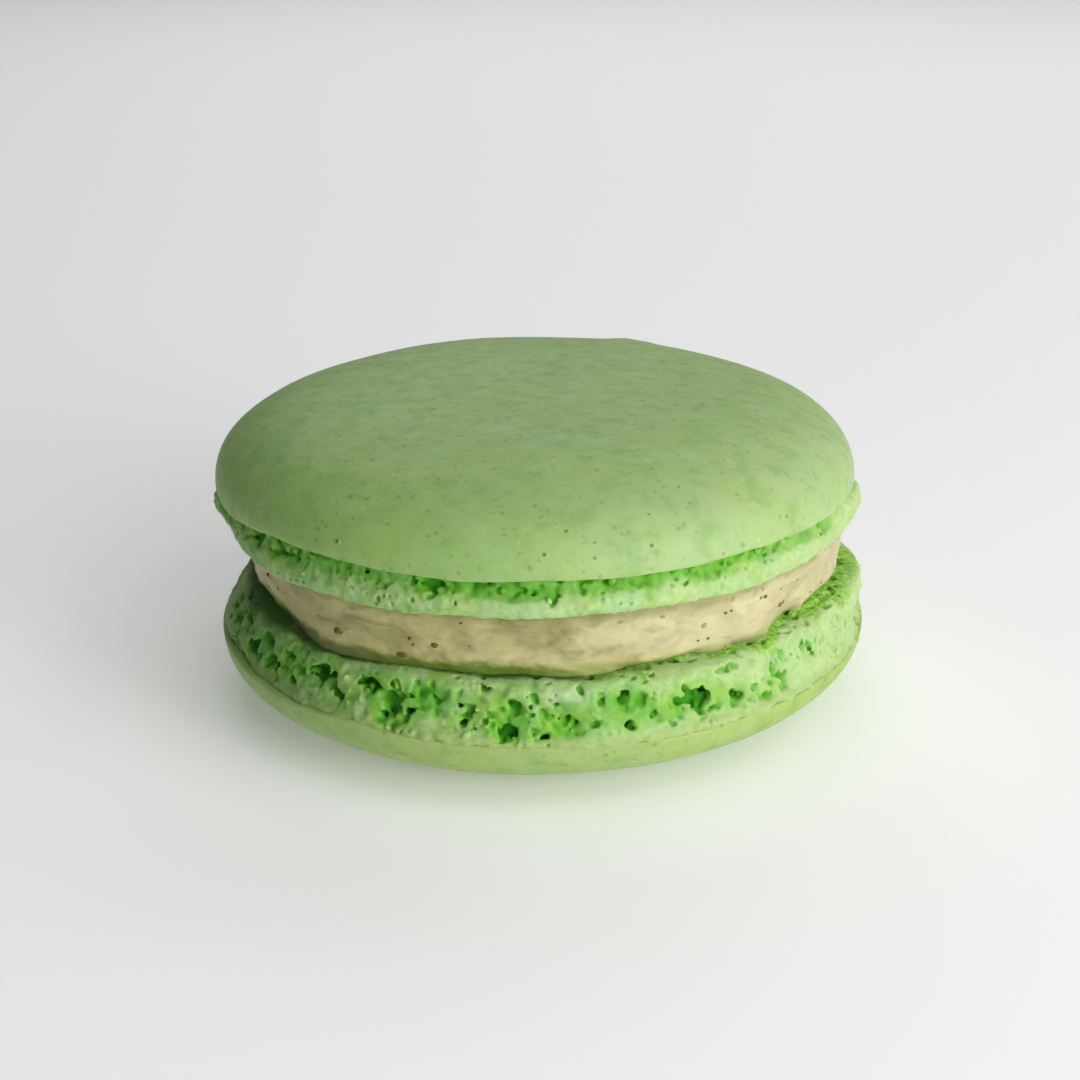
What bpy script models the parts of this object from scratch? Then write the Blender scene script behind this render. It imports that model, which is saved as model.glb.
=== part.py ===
"""French macaron: two baked almond-meringue shells with a cream filling between them.

Each shell is one solid: a smooth, flat-topped dome (the cap) over a ruffled, porous
collar (the foot). The upper shell lies foot down, the lower shell foot up, and the
filling is a thick disc set in a little from both feet.

Frame: metres, +Z up, origin on the table under the middle of the macaron.
The front is towards -Y. Sizes below are in millimetres.
"""

import math

import bpy
from mathutils import Matrix, Vector

MM = 0.001

# ---- shared ----
AROUND = 96            # steps round the axis
REST_R = 9.0           # radius of the flat spot that the lower dome stands on
GAP = 0.3              # clearance kept between touching pieces

# ---- lower shell (dome down, foot up) ----
LOW_CAP_R = 23.0       # widest radius of the dome, at its edge
LOW_CAP_H = 5.22       # depth of the dome below its edge
LOW_CAP_N = 4.2        # how flat the dome's face is (superellipse power across)
LOW_CAP_M = 2.2        # how round its shoulder is (superellipse power along the axis)
LOW_FOOT_H = 3.95      # height of the foot above the dome's edge
LOW_FOOT_R = 22.45     # foot radius at the dome
LOW_RIM_R = 21.85      # foot radius at its top edge
LOW_RIM_ROUND = 0.9    # rounding of that edge

# ---- upper shell (dome up, foot down) ----
UP_CAP_R = 22.5
UP_CAP_H = 5.46
UP_CAP_N = 4.1
UP_CAP_M = 2.27
UP_FOOT_H = 2.75
UP_FOOT_R = 21.95
UP_RIM_R = 21.75
UP_RIM_ROUND = 0.8
UP_EDGE_Z = 15.94      # height of the upper dome's edge above the table
UP_SHIFT = (-0.44, 0.10)   # the upper shell sits a little off centre
UP_TILT_DEG = -0.55    # and leans back a touch

# ---- filling ----
FILL_R = 20.55         # radius of the cream's bulge
FILL_SHIFT = (0.28, 0.0)
FILL_CORNER = 0.75     # rounding at its upper and lower edges

RUFFLE = 0.24          # height of the foot's ruffles
PITS = 0.40            # depth of its larger hollows
LIP = 0.42             # thickness of the dome's thin edge, where it meets the foot
UNDERCUT = 0.55        # how far the foot is drawn in just behind that edge


def linear(r, g, b):
    """sRGB 0-255 to the linear values that a Principled BSDF takes."""
    def one(c):
        c /= 255.0
        return c / 12.92 if c <= 0.04045 else ((c + 0.055) / 1.055) ** 2.4
    return (one(r), one(g), one(b), 1.0)


def material(name, rgb, roughness):
    m = bpy.data.materials.new(name)
    m.use_nodes = True
    bsdf = m.node_tree.nodes["Principled BSDF"]
    bsdf.inputs["Base Color"].default_value = linear(*rgb)
    bsdf.inputs["Roughness"].default_value = roughness
    bsdf.inputs["Metallic"].default_value = 0.0
    return m


def smooth(x):
    x = max(0.0, min(1.0, x))
    return x * x * (3.0 - 2.0 * x)


def waves(theta, lift, phase, orders, falloff):
    """Lumps round the axis: a sum of cosines whose crests come and go with height, between about -1 and 1."""
    total = weight = 0.0
    for i, k in enumerate(orders):
        a = 1.0 / (1.0 + falloff * i)
        side = -1 if i % 2 else 1
        total += a * math.cos(k * theta + phase * (1.7 + 2.3 * i) + side * 0.5 * lift) * math.cos(lift * (0.7 + 0.45 * i) + phase * (0.4 + i))
        weight += a
    return 1.6 * total / weight


def lump(theta, centre_deg, width_deg):
    """A smooth swelling round one direction, 1 at its middle."""
    d = (theta - math.radians(centre_deg) + math.pi) % (2 * math.pi) - math.pi
    return math.exp(-((d / math.radians(width_deg)) ** 2))


def shell_rings(cap_r, cap_h, cap_n, cap_m, foot_h, foot_r, rim_r, rim_round, phase, swellings, flat_r):
    """Rings of points, from the dome's pole to the foot's pole. The dome points to +Z, its edge at z = 0."""
    stations = []                       # (radius, height, how much the foot's ruffles show)
    # dome: a superellipse, evenly spread from its pole to its edge
    if flat_r:
        stations.append((flat_r, cap_h, 0.0))
    for i in range(1, 9):
        a = math.pi / 2 * (1 - i / 8) ** 1.15
        r = cap_r * math.cos(a) ** (2 / cap_n)
        z = cap_h * math.sin(a) ** (2 / cap_m) if a > 0 else 0.0
        if r > flat_r + 2.0:
            stations.append((r, z, 0.0))
    # the thin edge, then the undercut behind it
    stations.append((cap_r - 0.12, -LIP * 0.6, 0.1))
    stations.append((foot_r - UNDERCUT, -LIP - 0.25, 0.5))
    # the foot's wall
    wall = foot_h - rim_round - LIP - 0.25
    for i in range(1, 5):
        t = i / 4
        r = foot_r + (rim_r - foot_r) * t - UNDERCUT * (1 - smooth(t * 2.2)) * 0.8
        stations.append((r, -(LIP + 0.25) - wall * t, 0.75 + 0.25 * smooth(t * 1.5)))
    # its rounded rim and flat face
    for i in range(1, 4):
        a = math.pi / 2 * i / 3
        stations.append((rim_r - rim_round * (1 - math.cos(a)), -(foot_h - rim_round) - rim_round * math.sin(a), 1.0 - 0.5 * i / 3))
    stations.append((rim_r - rim_round - 1.6, -foot_h, 0.15))
    stations.append((9.0, -foot_h, 0.0))

    rings = []
    for r0, z0, amount in stations:
        ring = []
        for j in range(AROUND):
            th = 2 * math.pi * j / AROUND
            r, z = r0, z0
            # the whole shell is a little out of round, as piped batter is
            r *= 1 + 0.0022 * math.cos(2 * th + phase) + 0.0016 * math.cos(3 * th - phase)
            if amount:
                swell = sum(size * lump(th, at, wide) for at, wide, size in swellings)
                ruffle = RUFFLE * waves(th, z0 * 1.3, phase, (6, 10, 15, 21, 26), 0.12)
                pits = PITS * max(0.0, waves(th, z0 * 2.1, phase + 2.0, (9, 14, 19, 24), 0.05) - 0.1)
                r += amount * (swell + ruffle - pits)
                if -z0 > foot_h - rim_round * 0.9:
                    z += 0.14 * amount * waves(th, 0.0, phase + 5.0, (7, 11, 16, 22), 0.1)
            ring.append(Vector((r * math.cos(th), r * math.sin(th), z)))
        rings.append(ring)
    return rings, cap_h, -foot_h


def filling_rings(bottom, top):
    """Rings from the filling's upper pole to its lower pole: a squeezed disc of cream with a soft, lumpy side."""
    height = top - bottom
    stations = [(10.0, top, 0.0), (FILL_R - FILL_CORNER - 0.8, top, 0.1)]
    for i in range(0, 3):
        a = math.pi / 2 * i / 2
        stations.append((FILL_R - FILL_CORNER * (1 - math.sin(a)) - 0.15, top - FILL_CORNER * (1 - math.cos(a)), 0.5 + 0.25 * i))
    stations.append((FILL_R + 0.05, bottom + height * 0.5, 1.0))
    for i in range(2, -1, -1):
        a = math.pi / 2 * i / 2
        stations.append((FILL_R - FILL_CORNER * (1 - math.sin(a)), bottom + FILL_CORNER * (1 - math.cos(a)), 0.5 + 0.25 * i))
    stations.append((FILL_R - FILL_CORNER - 0.8, bottom, 0.1))
    stations.append((10.0, bottom, 0.0))
    rings = []
    for r0, z, amount in stations:
        ring = []
        for j in range(AROUND):
            th = 2 * math.pi * j / AROUND
            r = r0 + amount * 0.30 * waves(th, z * 0.8, 3.1, (4, 7, 11, 16, 22), 0.2)
            ring.append(Vector((r * math.cos(th), r * math.sin(th), z)))
        rings.append(ring)
    return rings, top, bottom


def lathe(name, rings, upper_pole, lower_pole):
    """One closed mesh from rings that run from the upper pole down to the lower pole."""
    verts = [Vector((0, 0, upper_pole))]
    for ring in rings:
        verts += ring
    verts.append(Vector((0, 0, lower_pole)))
    last = len(verts) - 1
    faces = []
    for j in range(AROUND):
        k = (j + 1) % AROUND
        faces.append((0, 1 + j, 1 + k))
        for i in range(len(rings) - 1):
            a, b = 1 + i * AROUND, 1 + (i + 1) * AROUND
            faces.append((a + j, b + j, b + k, a + k))
        a = 1 + (len(rings) - 1) * AROUND
        faces.append((a + j, last, a + k))
    mesh = bpy.data.meshes.new(name)
    mesh.from_pydata([v * MM for v in verts], [], faces)
    mesh.update()
    mesh.shade_smooth()
    mesh.set_sharp_from_angle(angle=math.radians(50))
    return mesh


def place(name, mesh, mat, parent, matrix):
    mesh.materials.append(mat)
    obj = bpy.data.objects.new(name, mesh)
    bpy.context.scene.collection.objects.link(obj)
    obj.parent = parent
    obj.matrix_local = matrix
    return obj


def main():
    for obj in list(bpy.data.objects):
        bpy.data.objects.remove(obj)

    macaron = bpy.data.objects.new("macaron", None)
    bpy.context.scene.collection.objects.link(macaron)

    green = material("shell_green", (166, 196, 124), 0.62)
    green_low = material("shell_green_lower", (166, 196, 124), 0.62)
    cream = material("cream", (212, 198, 150), 0.5)

    # Lower shell: built dome up, then turned over so that it stands on the dome's flat spot.
    rings, up, down = shell_rings(
        LOW_CAP_R, LOW_CAP_H, LOW_CAP_N, LOW_CAP_M, LOW_FOOT_H, LOW_FOOT_R, LOW_RIM_R, LOW_RIM_ROUND,
        phase=0.8, swellings=((-8.0, 14.0, -0.5), (25.0, 16.0, 0.75), (100.0, 25.0, 0.2)), flat_r=REST_R)
    # (swellings are given for the shell dome up, so their angles count the other way once it is turned over)
    place("shell_bottom", lathe("shell_bottom", rings, up, down), green_low, macaron,
          Matrix.Translation((0, 0, LOW_CAP_H * MM)) @ Matrix.Rotation(math.pi, 4, "X"))

    # Upper shell.
    rings, up, down = shell_rings(
        UP_CAP_R, UP_CAP_H, UP_CAP_N, UP_CAP_M, UP_FOOT_H, UP_FOOT_R, UP_RIM_R, UP_RIM_ROUND,
        phase=2.4, swellings=((186.0, 15.0, 0.75), (-4.0, 13.0, 1.0), (80.0, 30.0, 0.2)), flat_r=0.0)
    place("shell_top", lathe("shell_top", rings, up, down), green, macaron,
          Matrix.Translation((UP_SHIFT[0] * MM, UP_SHIFT[1] * MM, UP_EDGE_Z * MM))
          @ Matrix.Rotation(math.radians(UP_TILT_DEG), 4, "X"))

    # Filling, between the two feet.
    lowest = LOW_CAP_H + LOW_FOOT_H + GAP
    highest = UP_EDGE_Z - UP_FOOT_H - GAP - FILL_R * math.sin(math.radians(abs(UP_TILT_DEG)))
    rings, up, down = filling_rings(lowest, highest)
    place("filling", lathe("filling", rings, up, down), cream, macaron,
          Matrix.Translation((FILL_SHIFT[0] * MM, FILL_SHIFT[1] * MM, 0)))


main()
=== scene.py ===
# French macaron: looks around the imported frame.
# Two baked meringue shells, each a smooth cap with a porous foot, and smeared cream between them.
# All lengths are in millimetres until a mesh is made; MM turns them into metres.

import math

import bmesh
import bpy
import numpy as np
import openvdb
from mathutils import Matrix, Vector


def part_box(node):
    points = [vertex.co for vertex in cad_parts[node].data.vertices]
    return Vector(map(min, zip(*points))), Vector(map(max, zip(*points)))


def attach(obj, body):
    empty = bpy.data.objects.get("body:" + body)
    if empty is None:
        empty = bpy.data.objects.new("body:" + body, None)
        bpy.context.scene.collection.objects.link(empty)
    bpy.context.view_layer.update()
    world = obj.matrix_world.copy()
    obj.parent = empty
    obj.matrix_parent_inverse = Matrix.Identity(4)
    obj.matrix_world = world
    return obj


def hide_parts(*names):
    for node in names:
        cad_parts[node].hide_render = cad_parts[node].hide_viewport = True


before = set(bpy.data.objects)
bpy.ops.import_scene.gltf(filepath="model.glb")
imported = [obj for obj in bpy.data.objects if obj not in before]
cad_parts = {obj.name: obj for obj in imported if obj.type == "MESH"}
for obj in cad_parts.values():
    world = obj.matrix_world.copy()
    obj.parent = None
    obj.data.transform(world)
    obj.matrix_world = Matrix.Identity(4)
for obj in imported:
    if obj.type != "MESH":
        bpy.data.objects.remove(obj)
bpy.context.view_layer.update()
MM = 0.001
TAU = 2 * math.pi


def span_mm(node):
    low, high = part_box(node)
    return np.array(low) / MM, np.array(high) / MM


top_low, top_high = span_mm("shell_top")
bot_low, bot_high = span_mm("shell_bottom")
fil_low, fil_high = span_mm("filling")

# ------------------------------------------------------------------ sizes, from the frame
UP = dict(cap_r=22.46, cap_h=5.46, n=4.1, m=2.27, edge_z=top_high[2] - 5.46 - 0.0, shift=(-0.44, 0.10), tilt=math.radians(-0.55), foot=2.75)
LOW = dict(cap_r=22.99, cap_h=5.22, n=4.2, m=2.2, edge_z=bot_low[2] + 5.22, shift=(0.0, 0.0), tilt=0.0, foot=3.95)

# A shell's own coordinates: x, y across, h from the cap's edge towards the foot's face.
UP_MATRIX = (Matrix.Translation((UP["shift"][0] * MM, UP["shift"][1] * MM, UP["edge_z"] * MM))
             @ Matrix.Rotation(UP["tilt"], 4, "X") @ Matrix.Scale(-1, 4, (0, 0, 1)))
LOW_MATRIX = Matrix.Translation((0, 0, LOW["edge_z"] * MM))


# ------------------------------------------------------------------ smooth noise
def spline_matrix(n, step, wave):
    """Weights that spread a random row, one value every `wave`, over n samples `step` apart, with cubic B-splines."""
    x = np.arange(n) * step / wave
    i = np.floor(x).astype(int)
    f = x - i
    m = int(i.max()) + 4
    w = np.zeros((n, m), np.float32)
    rows = np.arange(n)
    w[rows, i] = (1 - f) ** 3 / 6
    w[rows, i + 1] = (3 * f ** 3 - 6 * f ** 2 + 4) / 6
    w[rows, i + 2] = (-3 * f ** 3 + 3 * f ** 2 + 3 * f + 1) / 6
    w[rows, i + 3] = f ** 3 / 6
    return w


def noise_block(rng, shape, step, wave):
    """Smooth noise over a block of samples, about unit spread. `wave` is one length, or three."""
    wave = (wave,) * 3 if np.isscalar(wave) else wave
    ws = [spline_matrix(n, step, w) for n, w in zip(shape, wave)]
    c = rng.standard_normal([w.shape[1] for w in ws]).astype(np.float32)
    c = np.tensordot(ws[0], c, (1, 0))
    c = np.einsum("ijk,lj->ilk", c, ws[1], optimize=True)
    c = np.einsum("ijk,lk->ijl", c, ws[2], optimize=True)
    return (c / 0.33).astype(np.float32)


class RingNoise:
    """Smooth noise round the axis: a periodic table over angle and height, read with cubic B-splines."""

    def __init__(self, rng, around, wave_h, low, high):
        self.n, self.wave, self.low = int(around), wave_h, low - 2 * wave_h
        self.m = int((high - low) / wave_h) + 7
        self.c = rng.standard_normal((self.n, self.m)).astype(np.float32)

    def __call__(self, theta, h):
        u = (np.asarray(theta) % TAU) / TAU * self.n
        v = np.clip((np.asarray(h) - self.low) / self.wave, 0, self.m - 4.001)
        u, v = np.broadcast_arrays(u, v)
        i, j = np.floor(u).astype(int), np.floor(v).astype(int)
        fu, fv = u - i, v - j

        def weights(f):
            return ((1 - f) ** 3 / 6, (3 * f ** 3 - 6 * f ** 2 + 4) / 6, (-3 * f ** 3 + 3 * f ** 2 + 3 * f + 1) / 6, f ** 3 / 6)
        wu, wv = weights(fu), weights(fv)
        total = np.zeros(u.shape, np.float32)
        for a in range(4):
            for b in range(4):
                total += self.c[(i + a - 1) % self.n, j + b] * wu[a] * wv[b]
        return total / 0.45


def smoothstep(x, a, b):
    t = np.clip((x - a) / (b - a), 0, 1)
    return t * t * (3 - 2 * t)


def smax(a, b, k):
    h = np.maximum(k - np.abs(a - b), 0) / k
    return np.maximum(a, b) + h * h * k * 0.25


def bump_at(theta, centre, width):
    """1 at an angle (degrees), falling off over `width` degrees."""
    d = (theta - math.radians(centre) + math.pi) % TAU - math.pi
    return np.exp(-(d / math.radians(width)) ** 2)


def box_blur(a, k, axes=(0, 1, 2)):
    for ax in axes:
        pad = [(0, 0)] * a.ndim
        pad[ax] = (k + 1, k)
        c = np.cumsum(np.pad(a, pad, mode="edge"), axis=ax, dtype=np.float32)
        n = a.shape[ax]
        hi = np.take(c, np.arange(2 * k + 1, 2 * k + 1 + n), axis=ax)
        lo = np.take(c, np.arange(0, n), axis=ax)
        a = (hi - lo) / (2 * k + 1)
    return a


def sample(block, origin, step, points):
    """Trilinear reading of a block at points."""
    q = (points - origin) / step
    q = np.clip(q, 0, np.array(block.shape) - 1.001)
    i = np.floor(q).astype(int)
    f = q - i
    out = np.zeros(len(points))
    for dx in (0, 1):
        for dy in (0, 1):
            for dz in (0, 1):
                w = (f[:, 0] if dx else 1 - f[:, 0]) * (f[:, 1] if dy else 1 - f[:, 1]) * (f[:, 2] if dz else 1 - f[:, 2])
                out += w * block[i[:, 0] + dx, i[:, 1] + dy, i[:, 2] + dz]
    return out


# ------------------------------------------------------------------ meshes
def new_mesh(name, verts_mm, faces3, faces4, matrix=None, smooth=True):
    """A mesh object in metres from arrays of points, triangles and quads."""
    verts = np.asarray(verts_mm, np.float64) * MM
    if matrix is not None:
        m = np.array(matrix)
        verts = verts @ m[:3, :3].T + m[:3, 3]
    mesh = bpy.data.meshes.new(name)
    n3, n4 = len(faces3), len(faces4)
    mesh.vertices.add(len(verts))
    mesh.vertices.foreach_set("co", verts.astype(np.float32).ravel())
    loops = np.concatenate([np.asarray(faces3, np.int32).ravel(), np.asarray(faces4, np.int32).ravel()]).astype(np.int32)
    mesh.loops.add(len(loops))
    mesh.loops.foreach_set("vertex_index", loops)
    mesh.polygons.add(n3 + n4)
    starts = np.concatenate([np.arange(n3) * 3, n3 * 3 + np.arange(n4) * 4]).astype(np.int32)
    mesh.polygons.foreach_set("loop_start", starts)
    mesh.polygons.foreach_set("use_smooth", np.full(n3 + n4, smooth))
    mesh.update(calc_edges=True)
    mesh.validate()
    obj = bpy.data.objects.new(name, mesh)
    bpy.context.scene.collection.objects.link(obj)
    return obj


def set_attribute(obj, name, values):
    a = obj.data.attributes.new(name, "FLOAT", "POINT")
    a.data.foreach_set("value", np.asarray(values, np.float32))


def signed_volume(verts, tris):
    a, b, c = verts[tris[:, 0]], verts[tris[:, 1]], verts[tris[:, 2]]
    return float(np.einsum("ij,ij->i", a, np.cross(b, c)).sum() / 6)


def biggest_part(n, tris, quads):
    """Which vertices belong to the largest connected part of a mesh."""
    edges = []
    if len(tris):
        edges += [tris[:, [0, 1]], tris[:, [1, 2]]]
    if len(quads):
        edges += [quads[:, [0, 1]], quads[:, [1, 2]], quads[:, [2, 3]]]
    e = np.concatenate(edges)
    label = np.arange(n)
    while True:
        low = np.minimum(label[e[:, 0]], label[e[:, 1]])
        new = label.copy()
        np.minimum.at(new, e[:, 0], low)
        np.minimum.at(new, e[:, 1], low)
        new = new[new]
        new = new[new]
        if np.array_equal(new, label):
            break
        label = new
    names, counts = np.unique(label, return_counts=True)
    return label == names[counts.argmax()]


# ------------------------------------------------------------------ the porous feet
ADAPT = 0.02           # how readily flat stretches of the mesh are merged
FOOT_CELL = 0.105      # grain of the feet's meshes
MOST_TRIANGLES = 192000
# Hollows: angle round the axis in degrees (270 is the front), height from the cap's edge,
# width, height and depth in mm. Those at the front are where the baked shell shows them.
LOW_HOLLOWS = [
    (201.4, 2.64, 2.4, 0.80, 0.7), (208.2, 1.61, 2.2, 1.10, 0.8), (214.9, 1.15, 1.3, 1.20, 0.7), (219.6, 2.31, 1.1, 0.55, 0.6),
    (220.9, 0.72, 0.7, 0.62, 1.0), (228.3, 2.16, 2.2, 1.10, 1.2), (232.6, 1.30, 0.9, 0.60, 0.6), (239.0, 2.37, 1.7, 0.75, 1.1), (243.9, 1.70, 1.8, 2.2, 0.90),
    (246.8, 1.38, 0.6, 0.95, 1.5), (250.8, 3.10, 0.42, 0.70, 0.4), (252.0, 2.05, 0.33, 0.33, 0.5), (257.2, 1.89, 1.2, 0.90, 0.7), (256.2, 0.92, 0.6, 0.32, 0.7),
    (260.9, 3.15, 0.8, 0.26, 0.5), (264.3, 2.37, 0.26, 0.34, 0.6), (260.3, 1.25, 0.28, 0.22, 0.4), (267.1, 1.41, 0.75, 0.33, 0.6), (264.3, 0.60, 1.5, 0.90, 0.8),
    (268.4, 2.88, 0.5, 0.55, 0.35), (273.4, 1.24, 1.7, 1.30, 0.9), (271.9, 1.13, 0.5, 0.60, 1.1), (270.6, 0.32, 0.9, 0.50, 0.9), (275.9, 3.32, 0.65, 0.48, 0.7),
    (279.5, 2.59, 0.7, 0.75, 0.5), (283.4, 2.80, 0.6, 0.66, 0.9), (278.1, 1.15, 0.6, 0.26, 0.6), (283.4, 0.84, 0.8, 0.62, 0.9), 
    (288.5, 3.50, 0.55, 0.22, 0.5), (290.3, 0.82, 0.28, 0.36, 0.9), (296.0, 1.70, 3.0, 1.40, 1.3), (292.6, 1.50, 0.5, 0.50, 0.5),
    (304.1, 1.15, 1.1, 0.70, 1.0), (303.4, 3.05, 1.1, 0.34, 0.3), (307.8, 1.27, 0.8, 0.50, 0.3), (310.5, 0.55, 1.0, 0.38, 0.6), (315.6, 1.30, 0.62, 0.50, 1.0),
    (314.2, 2.55, 0.8, 0.50, 0.3), (306.0, 3.55, 0.22, 0.16, 0.3), (312.6, 3.50, 0.18, 0.2, 0.3), (321.4, 2.40, 0.62, 0.60, 0.7), (324.2, 2.10, 1.2, 0.80, 0.35), (339.4, 1.41, 0.40, 0.42, 0.6), (329.5, 0.62, 0.3, 0.2, 0.3),
]
# Patches of a foot's wall with a deeper green (or, below zero, paler) crumb: angle, height, width and height in mm, strength.
LOW_STAINS = [
    (263.0, 2.7, 3.8, 1.4, 0.5), (251.3, 3.27, 1.1, 2.1, 0.6), (255.5, 2.56, 2.6, 1.0, 0.6), (258.8, 1.91, 1.7, 1.1, 0.4), (272.6, 1.18, 3.5, 2.2, 0.8), (263.7, 0.83, 2.2, 1.5, 0.8), (279.1, 1.3, 1.9, 0.7, 0.5),
    (285.8, 0.98, 2.9, 1.0, 0.6), (288.0, 2.18, 1.0, 0.6, 0.8), (291.4, 1.39, 2.0, 1.1, 0.7), (310.3, 0.61, 1.2, 0.6, 0.8), (297.8, -0.28, 1.4, 0.4, 0.6), (303.2, 3.09, 1.5, 0.4, 0.6), (287.2, 3.9, 0.6, 0.9, 0.9),
    (279.1, 2.76, 0.6, 0.9, 0.8), (300.1, 1.57, 1.7, 1.3, 0.5), (268.6, 3.3, 0.5, 1.4, 0.7), (277.5, 3.72, 1.3, 0.6, 0.4), (266.1, 1.35, 1.3, 0.7, 0.5), (280.8, 2.63, 1.0, 1.4, 0.35), (240.6, 2.38, 3.1, 1.0, 0.7),
    (244.3, 1.62, 2.5, 2.9, 0.7), (235.3, 1.19, 1.4, 2.2, 0.6), (260.7, 3.14, 1.0, 0.8, -0.7), (274.6, 2.75, 3.2, 1.4, -0.7), (267.5, 2.81, 0.9, 1.7, -0.6), (309.5, 1.68, 2.2, 1.2, -0.6), (295.0, 3.71, 4.8, 1.4, -0.6),
    (284.6, 2.87, 0.6, 0.8, -0.9), (289.3, 0.62, 3.0, 1.0, -0.6), (249.4, 1.69, 0.8, 1.6, -0.6), (247.0, 2.87, 0.9, 1.6, -0.4), (294.7, 0.63, 1.9, 1.0, -0.7), (305.8, -0.04, 3.5, 0.9, -0.5), (272.7, 3.55, 1.9, 0.7, -0.4),
    (239.3, 2.84, 1.1, 0.6, -0.6), (282.1, 0.12, 2.6, 0.7, -0.4), (274.2, 0.24, 0.9, 0.7, -0.7), (300.4, 3.73, 2.4, 1.0, -0.5), (319.5, 2.57, 4.9, 2.2, -0.5), (316.8, 0.75, 3.4, 0.7, -0.4), (238.5, 1.27, 1.4, 1.2, -0.5),
    (239.2, 0.55, 2.4, 0.7, -0.3),
]
UP_STAINS = [
    (241.4, 0.7, 1.4, 0.8, 0.9), (253.0, 0.82, 2.7, 0.8, 0.9), (261.1, 0.92, 3.2, 0.8, 0.5), (267.6, 1.19, 2.9, 0.7, 0.8), (274.0, 0.97, 0.7, 0.8, 0.7), (280.6, 0.93, 2.5, 0.9, 0.5), (289.5, 1.0, 2.0, 0.8, 0.7),
    (298.7, 0.67, 1.5, 1.4, 0.7), (307.7, 0.63, 5.0, 0.8, 0.6), (320.8, 0.98, 5.8, 0.9, 0.6), (221.8, 0.98, 3.0, 1.6, 0.8), (211.7, 0.78, 3.3, 1.0, 0.8), (233.6, 0.41, 4.3, 1.0, 0.5), (196.1, 1.68, 2.6, 1.2, 0.6),
    (329.9, 1.03, 5.6, 1.0, 0.4), (252.6, 1.98, 4.0, 0.6, -0.5), (261.8, 1.98, 3.8, 0.7, -0.5), (274.0, 1.98, 3.8, 0.8, -0.6), (284.3, 1.95, 3.3, 0.8, -0.6), (294.5, 1.79, 3.2, 0.8, -0.6), (236.5, 2.09, 4.9, 0.6, -0.5),
    (303.4, 1.88, 3.3, 0.7, -0.5), (226.1, 2.14, 4.1, 0.6, -0.4), (315.1, 1.53, 5.3, 1.0, -0.4), (278.9, 0.15, 1.9, 0.5, -0.5), (285.6, 0.26, 2.0, 0.5, -0.5), (342.2, 1.34, 3.4, 1.9, -0.4),
]
UP_HOLLOWS = [
    (206.0, 0.45, 1.6, 0.45, 0.5), (211.8, 0.60, 1.5, 1.00, 0.9), (220.0, 0.40, 1.6, 0.80, 0.8), (224.2, 0.95, 1.3, 0.95, 0.9), (230.0, 0.25, 1.8, 0.30, 0.5),
    (236.0, 0.20, 1.8, 0.40, 0.6), (241.5, 0.62, 1.5, 0.85, 0.9), (246.5, 0.35, 0.9, 0.45, 0.5), (252.6, 0.70, 2.7, 0.70, 1.0), (263.1, 0.50, 3.3, 0.80, 0.9),
    (266.0, 0.95, 1.3, 0.55, 0.45), (271.8, 1.05, 1.2, 0.95, 0.5), (274.1, 0.32, 0.42, 0.48, 1.3), (278.9, 0.45, 1.1, 0.60, 0.7), (284.5, 0.50, 1.3, 0.45, 0.4),
    (290.1, 0.70, 1.4, 0.52, 0.6), (296.1, 0.60, 0.5, 0.90, 0.9), (299.4, 0.42, 2.2, 0.70, 0.7), (305.5, 0.38, 2.6, 0.65, 0.7), (314.3, 0.45, 2.8, 0.60, 0.6),
    (323.0, 0.55, 1.6, 0.45, 0.4), (332.0, 0.50, 1.5, 0.45, 0.4),
    (269.1, 1.50, 0.32, 0.22, 0.4), (256.8, 1.70, 0.2, 0.28, 0.35), (237.3, 0.95, 0.25, 0.3, 0.4), (238.3, 1.80, 0.34, 0.28, 0.35), (249.5, 1.95, 0.22, 0.3, 0.35),
]


def contact_radius(degrees):
    """How far out the cream touches the lower shell, by angle."""
    return np.interp(degrees, [0, 60, 120, 180, 194, 205, 218, 226, 233, 243, 251, 269, 273, 275, 280, 282, 284.5, 288, 292, 295, 297.5, 300, 301.7, 304,
                               307, 309, 311, 314.5, 316.5, 319, 322, 325, 326.5, 328, 331, 333, 336, 339, 341, 343, 347, 350, 355, 360],
                     [20.7, 20.3, 20.3, 20.0, 20.0, 20.1, 20.6, 21.05, 21.0, 20.6, 20.4, 20.60, 20.96, 21.05, 21.12, 20.8, 20.35, 20.15, 20.15, 19.95, 19.80, 20.2, 20.55, 20.45,
                      20.2, 20.5, 20.72, 20.75, 20.45, 19.95, 19.7, 19.6, 19.8, 20.5, 20.12, 19.98, 20.1, 20.05, 19.95, 20.23, 20.48, 20.56, 20.8, 20.7])


def heap(rng, ang, heights, spacing, fall, spread, low, high, warp=None):
    """Relief of a heap of rounded clods round the axis, on a table of angles and heights: the highest of many small domes."""
    n, m = int(TAU * 22 / spacing), int((high - low) / spacing) + 4
    ca = (np.arange(n)[:, None] + 0.5 + rng.uniform(-0.45, 0.45, (n, m))) / n * TAU
    ch = low + (np.arange(m)[None, :] - 0.5 + rng.uniform(-0.45, 0.45, (n, m))) * spacing
    top = rng.random((n, m)) * spread
    squat = rng.uniform(0.6, 1.5, (n, m))
    A, Z = np.meshgrid(ang, heights, indexing="ij")
    if warp is not None:
        A, Z = (A + warp[0] / 22) % TAU, Z + warp[1]
    i = np.floor(A / TAU * n).astype(int)
    j = np.floor((Z - low) / spacing + 1).astype(int)
    best = np.full(A.shape, -9.0)
    for di in (-1, 0, 1):
        for dj in (-1, 0, 1):
            ii, jj = (i + di) % n, np.clip(j + dj, 0, m - 1)
            along = ((A - ca[ii, jj] + math.pi) % TAU - math.pi) * 22
            d2 = along ** 2 * squat[ii, jj] + (Z - ch[ii, jj]) ** 2
            best = np.maximum(best, top[ii, jj] - fall * d2 / spacing ** 2)
    return (best - best.mean()).astype(np.float32)


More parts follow.
